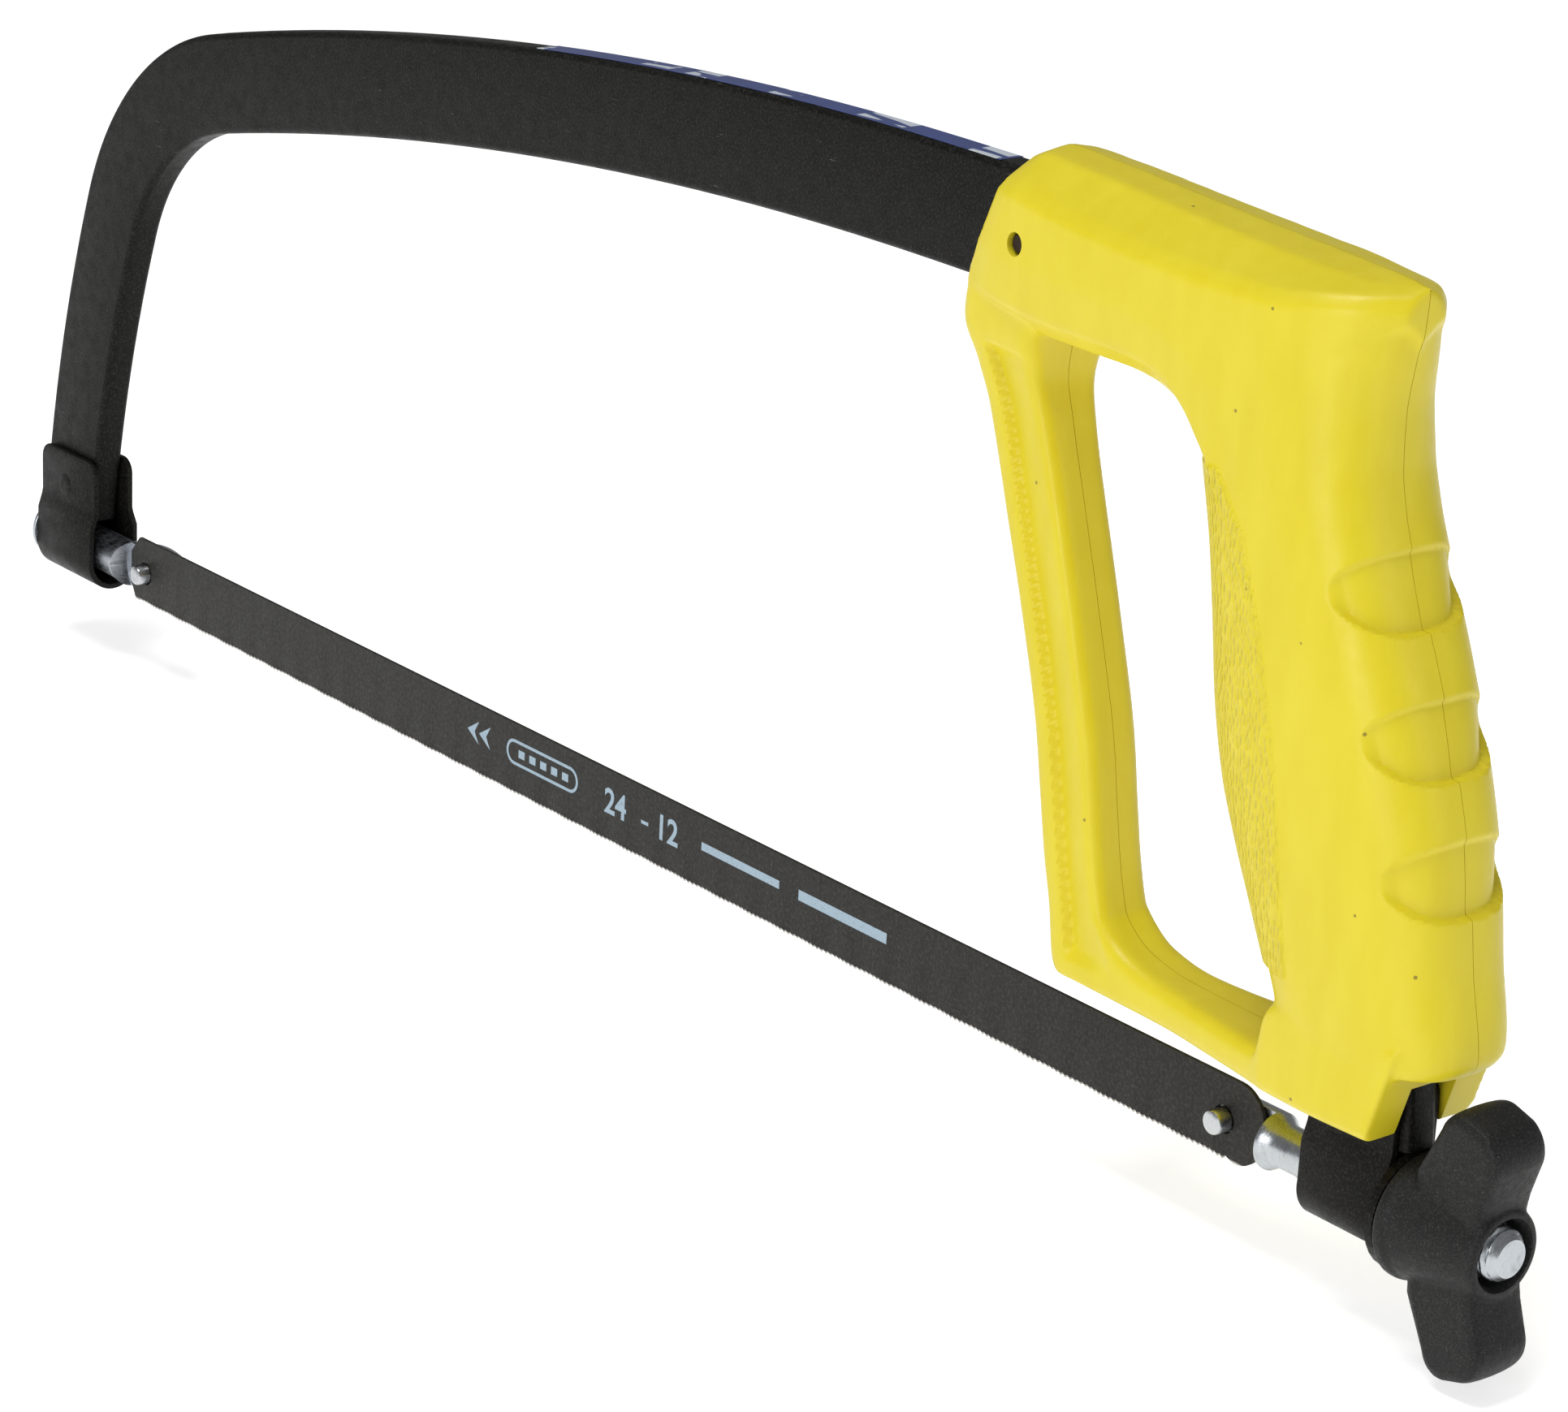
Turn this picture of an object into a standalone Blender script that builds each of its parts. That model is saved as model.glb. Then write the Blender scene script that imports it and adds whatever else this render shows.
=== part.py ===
"""Hacksaw with an arched tube frame, an enclosed grip and a wing-nut blade tensioner.

Lengths below are in millimetres and become metres in MM. The working frame has the front blade
pin at x = 0, the blade running along +X toward the handle, the saw's middle plane at y = 0 and
+Z up. Everything hangs under one empty that moves the middle of the hand grip to the origin.
"""

import math

import bmesh
import bpy
from mathutils import Matrix, Vector

MM = 0.001
GAP = 0.3                       # clearance between touching pieces

# Middle of the hand grip, in the working frame
GRIP_CENTRE = (317.0, 0.0, 64.0)

# Blade: 12 inch hole spacing, half-inch strip
HOLE_SPACING = 300.0
BLADE_WIDTH = 12.7
BLADE_RISE = 0.4                # the holes sit a little below the strip's centre line
BLADE_THICK = 0.65
BLADE_FRONT = 5.2               # blade left in front of the front hole
BLADE_REAR = 8.2                # and behind the rear hole
BLADE_Y = -0.95                 # the blade's own middle plane
PIN_RADIUS = 1.9
BLADE_HOLE_RADIUS = 2.2
PIN_PROUD = 2.6                 # how far the pins stand out of the blade
FLAT_Y = BLADE_Y + BLADE_THICK / 2 + GAP      # milled face the blade lies against

# Stud, bolt and wing nut, all turned about the x axis
SHANK_RADIUS = 4.0
THREAD_RADIUS = 3.9
TAB_HALF = 4.4                  # half height of the flattened tabs behind the blade
BOSS_RADIUS = 6.0               # swollen end of the front stud's tab
FRONT_SADDLE = (-34.4, -14.2)
REAR_SADDLE = (319.2, 335.4)
HEAD_RADIUS = 6.0
WASHER_RADIUS = 8.8
BOLT_END = 354.7
HUB = (337.3, 353.6)
FLANGE_RADIUS = 9.4
WING_TILT = math.radians(-1)
WING_HALF = 4.6                 # half thickness of the wings
INSERT_RADIUS = 5.6             # across the corners of the moulded-in nut
INSERT_SPAN = (340.4, 349.4)

# Frame tube
TUBE_HEIGHT = 18.0
TUBE_WIDTH = 5.8
TUBE_WALL = 1.0
TUBE_CORNER = 1.2
TUBE_START = (-26.8, 7.2)       # centre of the open end of the front leg
TUBE_HEADING = 8.0              # degrees from upright there
# Arcs of the centre line: (length, turn in degrees, number of steps)
TUBE_ARCS = (
    (64.0, 13.0, 3),            # front leg
    (50.3, 57.3, 10),           # front bend
    (201.5, 12.4, 7),           # arched spine
    (53.4, 0.9, 1),             # spine inside the handle
    (39.2, 68.4, 8),            # bend down into the grip
    (90.4, 16.2, 4),            # rear leg inside the grip
)

# Saddles of folded sheet
SHEET = 1.1
U_DROP = 1.7                    # how far the U hangs below the shank's axis
EAR_TOP = 18.6
EAR_ROUND = 3.0
RIVET_RADIUS = 2.2
FRONT_RIVET = (-25.6, 11.8)     # x, z
REAR_RIVET = (326.6, 15.2)

# Handle
HANDLE_PIN = (253.8, 119.8)     # x, z of the locking pin
HANDLE_PIN_RADIUS = 1.5
SEAM = 0.15                     # half the gap between the two shells


def material(name, colour, metallic, roughness):
    """A Principled BSDF material of one colour."""
    mat = bpy.data.materials.new(name)
    mat.use_nodes = True
    shader = mat.node_tree.nodes["Principled BSDF"]
    shader.inputs["Base Color"].default_value = (*colour, 1.0)
    shader.inputs["Metallic"].default_value = metallic
    shader.inputs["Roughness"].default_value = roughness
    return mat


def add(name, bm, mat, root, pivot=(0.0, 0.0, 0.0)):
    """Make an object of bm (millimetres, working frame) whose origin is at pivot."""
    bmesh.ops.translate(bm, verts=bm.verts, vec=-Vector(pivot))
    bmesh.ops.scale(bm, verts=bm.verts, vec=(MM, MM, MM))
    bmesh.ops.recalc_face_normals(bm, faces=bm.faces)
    mesh = bpy.data.meshes.new(name)
    bm.to_mesh(mesh)
    bm.free()
    mesh.shade_smooth()
    mesh.set_sharp_from_angle(angle=math.radians(35))
    mesh.materials.append(mat)
    obj = bpy.data.objects.new(name, mesh)
    bpy.context.collection.objects.link(obj)
    obj.parent = root
    obj.location = Vector(pivot) * MM
    return obj


def boolean(obj, tool, operation):
    """Apply one exact Boolean to obj and remove the tool."""
    modifier = obj.modifiers.new(operation, "BOOLEAN")
    modifier.operation = operation
    modifier.solver = "EXACT"
    modifier.object = tool
    tool.hide_render = True
    tool.display_type = "WIRE"
    bpy.context.view_layer.update()
    graph = bpy.context.evaluated_depsgraph_get()
    mesh = bpy.data.meshes.new_from_object(obj.evaluated_get(graph))
    obj.modifiers.clear()
    obj.data = mesh
    bpy.data.objects.remove(tool)


def loft(rings):
    """Join rings of equally many points into one closed body with capped ends."""
    bm = bmesh.new()
    rows = [[bm.verts.new(point) for point in ring] for ring in rings]
    count = len(rows[0])
    for low, high in zip(rows, rows[1:]):
        for i in range(count):
            j = (i + 1) % count
            bm.faces.new((low[i], low[j], high[j], high[i]))
    bm.faces.new(list(reversed(rows[0])))
    bm.faces.new(rows[-1])
    bmesh.ops.recalc_face_normals(bm, faces=bm.faces)
    return bm


def turned(profile, segments=32, start=0.0):
    """Turn (x, radius) pairs about the x axis."""
    rings = []
    for x, radius in profile:
        angles = [start + 2 * math.pi * i / segments for i in range(segments)]
        rings.append([(x, radius * math.cos(a), radius * math.sin(a)) for a in angles])
    return loft(rings)


def peg(x, z, radius, y0, y1, chamfer=0.0, segments=20):
    """A cylinder along y, chamfered at its y0 end."""
    stations = [(y0, radius - chamfer), (y0 + chamfer, radius)] if chamfer else [(y0, radius)]
    stations.append((y1, radius))
    rings = []
    for y, r in stations:
        angles = [2 * math.pi * i / segments for i in range(segments)]
        rings.append([(x + r * math.cos(a), y, z + r * math.sin(a)) for a in angles])
    return loft(rings)


def box(low, high):
    """A box between two corners."""
    bm = bmesh.new()
    size = Vector(high) - Vector(low)
    middle = (Vector(high) + Vector(low)) / 2
    place = Matrix.Translation(middle) @ Matrix.Diagonal((*size, 1.0))
    bmesh.ops.create_cube(bm, size=1.0, matrix=place)
    return bm


def arc(cx, cy, radius, start, end, steps):
    """Points of an arc, angles in degrees."""
    angles = [math.radians(start + (end - start) * i / steps) for i in range(steps + 1)]
    return [(cx + radius * math.cos(a), cy + radius * math.sin(a)) for a in angles]


def round_rect(half_width, half_height, radius, steps):
    """Outline of a rectangle with round corners."""
    dx = half_width - radius
    dy = half_height - radius
    points = arc(dx, dy, radius, 0, 90, steps)
    points += arc(-dx, dy, radius, 90, 180, steps)
    points += arc(-dx, -dy, radius, 180, 270, steps)
    points += arc(dx, -dy, radius, 270, 360, steps)
    return points


# ---------------------------------------------------------------- frame tube

def tube_line():
    """Centre line of the tube: (x, z, heading in radians from upright)."""
    x, z = TUBE_START
    heading = math.radians(TUBE_HEADING)
    line = [(x, z, heading)]
    for length, turn, steps in TUBE_ARCS:
        for _ in range(steps):
            middle = heading + math.radians(turn) / steps / 2
            x += length / steps * math.sin(middle)
            z += length / steps * math.cos(middle)
            heading += math.radians(turn) / steps
            line.append((x, z, heading))
    return line


def swept(line, section):
    """Rings of a section (y, outward) carried along the centre line."""
    rings = []
    for x, z, heading in line:
        out = (-math.cos(heading), math.sin(heading))
        rings.append([(x + out[0] * v, y, z + out[1] * v) for y, v in section])
    return rings


def tube_solid(grow, steps, reach=0.0):
    """The tube's outer shape, grown all round, its ends moved out by reach."""
    line = tube_line()
    if reach:
        for end, sign in ((0, -1), (-1, 1)):
            x, z, heading = line[end]
            shift = sign * reach
            line[end] = (x + shift * math.sin(heading), z + shift * math.cos(heading), heading)
    section = round_rect(TUBE_WIDTH / 2 + grow, TUBE_HEIGHT / 2 + grow, TUBE_CORNER - grow, steps)
    return loft(swept(line, section))


def frame_tube(mat, root):
    """Hollow tube, open at both ends, with a rivet hole through each end."""
    line = tube_line()
    outer = swept(line, round_rect(TUBE_WIDTH / 2, TUBE_HEIGHT / 2, TUBE_CORNER, 2))
    inner = swept(line, round_rect(TUBE_WIDTH / 2 - TUBE_WALL, TUBE_HEIGHT / 2 - TUBE_WALL,
                                   TUBE_CORNER - TUBE_WALL + 0.2, 2))
    bm = bmesh.new()
    shells = [[[bm.verts.new(p) for p in ring] for ring in rings] for rings in (outer, inner)]
    count = len(outer[0])
    for rows in shells:
        for low, high in zip(rows, rows[1:]):
            for i in range(count):
                j = (i + 1) % count
                bm.faces.new((low[i], low[j], high[j], high[i]))
    for end in (0, -1):
        for i in range(count):
            j = (i + 1) % count
            bm.faces.new((shells[0][end][i], shells[0][end][j],
                          shells[1][end][j], shells[1][end][i]))
    tube = add("frame_tube", bm, mat, root)
    for x, z in (FRONT_RIVET, REAR_RIVET):
        hole = peg(x, z, RIVET_RADIUS + GAP, -10, 10)
        boolean(tube, add("cutter", hole, mat, root), "DIFFERENCE")
    hole = peg(*HANDLE_PIN, HANDLE_PIN_RADIUS + GAP, -10, 10)
    boolean(tube, add("cutter", hole, mat, root), "DIFFERENCE")
    return tube


# ---------------------------------------------------------------- saddles

def saddle(name, span, rivet, mat, root):
    """Sheet folded into a U round the shank, its ears up both sides of the tube."""
    inner_radius = SHANK_RADIUS + 0.35
    ear = TUBE_WIDTH / 2 + GAP
    inner = [(-ear, EAR_TOP), (-ear, 8.0), (-inner_radius, 4.6)]
    inner += arc(0, -U_DROP, inner_radius, 180, 360, 12)
    inner += [(inner_radius, 4.6), (ear, 8.0), (ear, EAR_TOP)]
    outer_radius = inner_radius + SHEET
    ear += SHEET
    outer = [(ear, EAR_TOP), (ear, 8.3), (outer_radius, 4.9)]
    outer += arc(0, -U_DROP, outer_radius, 0, -180, 12)
    outer += [(-outer_radius, 4.9), (-ear, 8.3), (-ear, EAR_TOP)]
    section = inner + outer
    bm = loft([[(x, y, z) for y, z in section] for x in span])
    corners = [e for e in bm.edges if is_ear_corner(e)]
    bmesh.ops.bevel(bm, geom=corners, offset=EAR_ROUND, segments=4, profile=0.5, affect="EDGES")
    obj = add(name, bm, mat, root)
    hole = peg(*rivet, RIVET_RADIUS + GAP, -10, 10)
    boolean(obj, add("cutter", hole, mat, root), "DIFFERENCE")
    return obj


def is_ear_corner(edge):
    """True for the short edges across the sheet at the top of an ear."""
    a, b = (v.co for v in edge.verts)
    level = abs(a.z - EAR_TOP) < 0.01 and abs(b.z - EAR_TOP) < 0.01
    return level and abs(a.x - b.x) < 0.01


def rivet(name, x, z, mat, root):
    """Flush rivet through both ears and the tube."""
    reach = TUBE_WIDTH / 2 + GAP + SHEET + 0.25
    bm = loft([[(x + r * math.cos(a), y, z + r * math.sin(a))
                for a in [2 * math.pi * i / 20 for i in range(20)]]
               for y, r in ((-reach, 1.2), (-reach + 0.2, RIVET_RADIUS),
                            (reach - 0.2, RIVET_RADIUS), (reach, 1.2))])
    return add(name, bm, mat, root)


# ---------------------------------------------------------------- blade and its pins

def blade(mat, root):
    """Half-inch strip with a clipped front end, a round rear end and two holes."""
    top = BLADE_WIDTH / 2 + BLADE_RISE
    low = top - BLADE_WIDTH
    rear = HOLE_SPACING + BLADE_REAR
    outline = [(-2.2, top), (-BLADE_FRONT, top - 3.4), (-BLADE_FRONT, low + 3.0), (-3.6, low)]
    outline += arc(rear - 5.5, low + 5.5, 5.5, -90, 0, 5)
    outline += arc(rear - 5.5, top - 5.5, 5.5, 0, 90, 5)
    y0 = BLADE_Y - BLADE_THICK / 2
    y1 = BLADE_Y + BLADE_THICK / 2
    obj = add("blade", loft([[(x, y, z) for x, z in outline] for y in (y0, y1)]), mat, root,
              pivot=(HOLE_SPACING / 2, BLADE_Y, 0))
    for x in (0, HOLE_SPACING):
        hole = peg(x, 0, BLADE_HOLE_RADIUS, -5, 5, segments=24)
        boolean(obj, add("cutter", hole, mat, root), "DIFFERENCE")
    return obj


def blade_pin(name, x, mat, root):
    """Dog pin set in a tab, with a chamfered outer end."""
    y0 = BLADE_Y - BLADE_THICK / 2 - PIN_PROUD
    return add(name, peg(x, 0, PIN_RADIUS, y0, 2.2, chamfer=0.5), mat, root, pivot=(x, BLADE_Y, 0))


# ---------------------------------------------------------------- stud and bolt

def mill(obj, x0, x1, mat, root):
    """Cut away the near half of a shank between x0 and x1."""
    boolean(obj, add("cutter", box((x0, -12, -12), (x1, FLAT_Y, 12)), mat, root), "DIFFERENCE")


def front_stud(mat, root):
    """Round shank with a domed head in front and a milled tab at the rear."""
    head = FRONT_SADDLE[0] - GAP
    profile = [(head - 3.2, 2.6), (head - 2.6, 4.6), (head - 1.4, 5.7), (head, HEAD_RADIUS),
               (head + 0.01, SHANK_RADIUS), (-9.0, SHANK_RADIUS), (-7.0, TAB_HALF),
               (-4.0, TAB_HALF), (-1.0, BOSS_RADIUS - 0.4), (1.4, BOSS_RADIUS), (4.0, BOSS_RADIUS - 0.1),
               (6.6, 5.1), (8.2, 3.9), (9.0, 2.0)]
    obj = add("front_stud", turned(profile, 28), mat, root)
    mill(obj, -8.5, 12, mat, root)
    hole = peg(0, 0, PIN_RADIUS + GAP, -10, 10)
    boolean(obj, add("cutter", hole, mat, root), "DIFFERENCE")
    return obj


def tension_bolt(mat, root):
    """Milled tab, waist, square shank in the rear saddle, then the threaded rod."""
    end = HOLE_SPACING
    profile = [(end - 7.4, 2.0), (end - 6.6, 3.4), (end - 4.6, TAB_HALF),
               (end + 10.0, TAB_HALF), (end + 11.4, 3.3), (end + 16.0, 3.3),
               (end + 18.0, SHANK_RADIUS), (REAR_SADDLE[1] - 0.6, SHANK_RADIUS),
               (REAR_SADDLE[1] - 0.2, THREAD_RADIUS), (BOLT_END - 1.2, THREAD_RADIUS),
               (BOLT_END, THREAD_RADIUS - 1.1)]
    obj = add("tension_bolt", turned(profile, 28), mat, root)
    mill(obj, end - 12, end + 9.4, mat, root)
    hole = peg(end, 0, PIN_RADIUS + GAP, -10, 10)
    boolean(obj, add("cutter", hole, mat, root), "DIFFERENCE")
    return obj


def thrust_washer(mat, root):
    """Plain washer between the rear saddle and the wing nut."""
    x0 = REAR_SADDLE[1] + GAP
    x1 = HUB[0] - GAP
    obj = add("thrust_washer", turned([(x0, WASHER_RADIUS), (x1, WASHER_RADIUS)], 32), mat, root)
    bore = turned([(x0 - 2, THREAD_RADIUS + GAP), (x1 + 2, THREAD_RADIUS + GAP)], 28)
    boolean(obj, add("cutter", bore, mat, root), "DIFFERENCE")
    return obj


# ---------------------------------------------------------------- wing nut

def wing_outline():
    """Side view of the upper wing."""
    points = [(341.0, 3.0), (341.0, 9.6)]
    points += arc(348.0, 16.4, 3.7, 165, 80, 4)
    points += arc(350.0, 14.3, 5.2, 62, -10, 4)
    points += [(353.4, 7.6), (352.4, 3.0)]
    return points


def wing(side):
    """One wing with rounded edges, tilted a little about the x axis."""
    outline = [(x, side * z) for x, z in wing_outline()]
    bm = loft([[(x, y, z) for x, z in outline] for y in (-WING_HALF, WING_HALF)])
    rims = [e for e in bm.edges if abs(e.verts[0].co.y - e.verts[1].co.y) < 0.01]
    rims = [e for e in rims if all(abs(v.co.z) > 4 for v in e.verts)]
    bmesh.ops.bevel(bm, geom=rims, offset=1.6, segments=2, profile=0.5, affect="EDGES")
    bmesh.ops.rotate(bm, verts=bm.verts, matrix=Matrix.Rotation(-WING_TILT, 3, "X"))
    return bm


def wing_nut(mat, root):
    """Moulded hub with two wings, a countersunk recess and a bore for the insert."""
    x0, x1 = HUB
    profile = [(x0, FLANGE_RADIUS - 0.8), (x0 + 0.8, FLANGE_RADIUS), (x0 + 2.4, FLANGE_RADIUS),
               (x0 + 4.5, 9.2), (x1 - 2.5, 7.6), (x1 - 0.8, 7.0), (x1, 6.2)]
    obj = add("wing_nut", turned(profile, 32), mat, root)
    for side in (1, -1):
        boolean(obj, add("cutter", wing(side), mat, root), "UNION")
    socket = turned([(INSERT_SPAN[0], INSERT_RADIUS + GAP), (INSERT_SPAN[1] + GAP, INSERT_RADIUS + GAP),
                     (x1 + 1, INSERT_RADIUS + GAP)], 6)
    boolean(obj, add("cutter", socket, mat, root), "DIFFERENCE")
    bore = turned([(x0 - 2, THREAD_RADIUS + GAP), (x1 + 2, THREAD_RADIUS + GAP)], 28)
    boolean(obj, add("cutter", bore, mat, root), "DIFFERENCE")
    return obj


def wing_nut_insert(mat, root):
    """Hexagon nut moulded into the hub."""
    x0, x1 = INSERT_SPAN
    obj = add("wing_nut_insert", turned([(x0 + GAP, INSERT_RADIUS), (x1, INSERT_RADIUS)], 6), mat, root)
    bore = turned([(x0 - 2, THREAD_RADIUS + GAP), (x1 + 2, THREAD_RADIUS + GAP)], 28)
    boolean(obj, add("cutter", bore, mat, root), "DIFFERENCE")
    return obj


# ---------------------------------------------------------------- handle

def oval_half(a, b, power, steps):
    """Points of a squarish oval, from +a round to +a again."""
    points = []
    for i in range(steps):
        t = 2 * math.pi * i / steps
        c = math.cos(t)
        s = math.sin(t)
        points.append((a * math.copysign(abs(c) ** (2 / power), c),
                       b * math.copysign(abs(s) ** (2 / power), s)))
    return points


def top_bar():
    """The box over the opening: a low roof, flat sides and a slightly round underside."""
    # x at the ridge, crest height, half width, ridge height, underside, lean of the section
    stations = (
        (243.9, 131.8, 9.2, 127.6, 108.0, 0.4),
        (249.0, 133.0, 10.6, 127.6, 107.0, 0.25),
        (262.0, 132.4, 11.8, 126.4, 106.0, 0.0),
        (276.0, 131.3, 12.4, 125.2, 106.0, 0.0),
        (282.0, 130.8, 12.7, 124.8, 105.5, 0.0),
        (287.0, 130.4, 12.9, 124.6, 104.0, 0.0),
        (291.0, 130.1, 13.0, 124.5, 101.4, 0.0),
        (294.0, 129.9, 13.0, 124.4, 98.0, 0.0),
        (298.0, 129.6, 13.0, 124.4, 94.0, 0.0),
        (306.0, 129.1, 12.9, 124.4, 94.0, 0.0),
        (312.0, 128.6, 11.4, 125.0, 106.0, 0.0),
        (317.8, 128.1, 8.4, 125.4, 115.0, 0.06),
        (322.6, 127.4, 3.4, 125.6, 119.0, 0.06),
    )
    rings = []
    for x, crest, half, ridge, under, lean in stations:
        side = [(0.0, crest), (half * 0.45, crest - 0.9), (half - 1.4, ridge + 0.6), (half, ridge - 1.2),
                (half + 0.2, (ridge + under) / 2), (half - 0.4, under + 4.0), (half - 3.5, under + 1.0)]
        ring = side + [(0.0, under)] + [(-y, z) for y, z in reversed(side[1:])]
        rings.append([(x + lean * (z - 119.0), y, z) for y, z in ring])
    return loft(rings)


def grip():
    """The hand grip: squarish ovals that lean forward and swell toward the palm."""
    # z, front x, back x, half width, squareness of the oval
    stations = (
        (22.6, 312.9, 343.6, 11.0, 2.9), (25.0, 312.2, 345.2, 11.4, 2.9), (37.0, 307.2, 342.8, 12.3, 2.9),
        (46.6, 302.8, 341.2, 12.8, 2.9), (55.0, 299.4, 339.2, 13.0, 2.9), (66.0, 296.8, 335.6, 13.1, 2.9),
        (78.0, 295.2, 330.6, 13.1, 2.9), (89.0, 293.4, 325.5, 13.0, 2.9), (96.5, 291.4, 322.6, 13.0, 2.8),
        (103.0, 289.4, 321.2, 13.0, 2.6), (110.0, 288.0, 320.9, 12.8, 2.35), (117.6, 286.0, 321.8, 12.4, 2.2),
        (122.3, 285.0, 322.3, 12.0, 2.1),
    )
    rings = []
    for z, front, back, half, power in stations:
        middle = (front + back) / 2
        oval = oval_half((back - front) / 2, half, power, 20)
        rings.append([(middle + x, y, z) for x, y in oval])
    return loft(rings)


def guard():
    """The slim knuckle guard in front of the opening."""
    # z, front x, rear x, half width
    stations = (
        (11.8, 265.6, 282.0, 5.2), (13.5, 264.8, 281.0, 5.6), (22.0, 263.2, 276.0, 5.6),
        (29.0, 261.4, 273.8, 5.6), (38.0, 259.6, 272.0, 5.6), (48.0, 257.6, 270.2, 5.6),
        (65.0, 252.6, 265.4, 5.6), (81.0, 247.2, 260.4, 5.6), (93.0, 243.4, 256.6, 5.9),
        (100.0, 241.2, 254.8, 7.0), (106.0, 239.8, 255.6, 8.8), (112.0, 241.0, 260.0, 9.4),
        (117.3, 243.4, 262.0, 9.3),
    )
    rings = []
    for z, front, rear, half in stations:
        section = round_rect((rear - front) / 2, half, 2.6, 2)
        rings.append([((front + rear) / 2 + x, y, z) for x, y in section])
    return loft(rings)


def bottom_bar():
    """The bar above the blade, which swells into the foot of the grip."""
    # x, underside, top, half width, lean of the section
    stations = (
        (268.5, 11.6, 36.0, 5.2, 0.0), (271.4, 11.4, 29.5, 5.4, 0.0), (275.0, 11.3, 23.6, 5.5, 0.0),
        (281.0, 11.2, 19.2, 5.7, 0.0), (289.0, 11.2, 17.6, 6.0, 0.0), (302.0, 11.3, 17.2, 7.8, 0.0),
        (312.6, 11.5, 17.4, 9.8, 0.0), (314.6, 11.6, 25.0, 10.4, 0.0), (326.0, 11.8, 28.0, 11.1, 0.0),
        (337.4, 12.0, 28.0, 11.0, 0.3),
    )
    rings = []
    for x, under, top, half, lean in stations:
        corner = 2.2
        side = [(half - corner, under), (half - 0.6, under + 0.6), (half, under + corner),
                (half, top - corner), (half - 0.6, top - 0.6), (half - corner, top)]
        ring = side + [(-y, z) for y, z in reversed(side)]
        rings.append([(x + lean * (z - 18.0), y, z) for y, z in ring])
    return loft(rings)


def handle_shell(name, side, mat, root):
    """One half of the handle: side is -1 for the left shell and 1 for its mirror image, the right one."""
    obj = add(name, top_bar(), mat, root)
    for piece in (grip(), guard(), bottom_bar()):
        boolean(obj, add("cutter", piece, mat, root), "UNION")
    channel = tube_solid(GAP, 1, reach=6.0)
    boolean(obj, add("cutter", channel, mat, root), "DIFFERENCE")
    pocket = TUBE_WIDTH / 2 + GAP + SHEET + GAP
    cut = box((REAR_SADDLE[0] - 0.6, -pocket, 2), (360, pocket, EAR_TOP + 1.2))
    boolean(obj, add("cutter", cut, mat, root), "DIFFERENCE")
    hole = peg(*HANDLE_PIN, HANDLE_PIN_RADIUS + GAP, -30, 30)
    boolean(obj, add("cutter", hole, mat, root), "DIFFERENCE")
    boolean(obj, add("cutter", box((200, -SEAM, -20), (400, 40, 160)), mat, root), "DIFFERENCE")
    if side > 0:
        obj.data.transform(Matrix.Diagonal((1.0, -1.0, 1.0, 1.0)))
        obj.data.flip_normals()
    return obj


def handle_pin(mat, root):
    """Pin through both shells and the tube, sunk a little below the surface."""
    x, z = HANDLE_PIN
    return add("handle_pin", peg(x, z, HANDLE_PIN_RADIUS, -10.6, 10.6, chamfer=0.3, segments=16),
               mat, root)


# ---------------------------------------------------------------- assembly

for old in list(bpy.data.objects):
    bpy.data.objects.remove(old)

saw = bpy.data.objects.new("saw", None)
bpy.context.collection.objects.link(saw)
saw.location = -Vector(GRIP_CENTRE) * MM

black_steel = material("black_powder_coat", (0.022, 0.022, 0.02), 0.0, 0.45)
rivet_steel = material("black_rivet", (0.03, 0.03, 0.028), 0.2, 0.4)
stud_steel = material("zinc_stud", (0.62, 0.64, 0.66), 1.0, 0.28)
pin_steel = material("bright_pin", (0.66, 0.67, 0.68), 1.0, 0.3)
bolt_steel = material("zinc_bolt", (0.6, 0.62, 0.64), 1.0, 0.25)
blade_steel = material("blade_black", (0.035, 0.033, 0.028), 0.4, 0.4)
washer_steel = material("washer_black", (0.03, 0.03, 0.03), 0.4, 0.45)
nut_plastic = material("wing_nut_black", (0.028, 0.029, 0.027), 0.0, 0.55)
insert_steel = material("insert_zinc", (0.55, 0.56, 0.57), 1.0, 0.35)
yellow = material("handle_yellow", (0.86, 0.66, 0.02), 0.0, 0.35)

frame_tube(black_steel, saw)
saddle("front_saddle", FRONT_SADDLE, FRONT_RIVET, black_steel, saw)
saddle("rear_saddle", REAR_SADDLE, REAR_RIVET, black_steel, saw)
rivet("front_saddle_rivet", *FRONT_RIVET, rivet_steel, saw)
rivet("rear_saddle_rivet", *REAR_RIVET, rivet_steel, saw)
front_stud(stud_steel, saw)
blade_pin("front_blade_pin", 0.0, pin_steel, saw)
blade(blade_steel, saw)
blade_pin("rear_blade_pin", HOLE_SPACING, pin_steel, saw)
tension_bolt(bolt_steel, saw)
thrust_washer(washer_steel, saw)
wing_nut(nut_plastic, saw)
wing_nut_insert(insert_steel, saw)
handle_shell("handle_left", -1, yellow, saw)
handle_shell("handle_right", 1, yellow, saw)
handle_pin(pin_steel, saw)
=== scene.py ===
"""Looks of a hacksaw: a painted tube frame, a toothed blade, bright fittings and a moulded handle.

Lengths are in millimetres, in a working frame whose origin is the front blade pin on the saw's
middle plane: +X toward the wing nut, -Y toward the side the pins stand out of, +Z up.
"""

import math

import bmesh
import bpy
import numpy as np
from mathutils import Matrix, Vector


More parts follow.
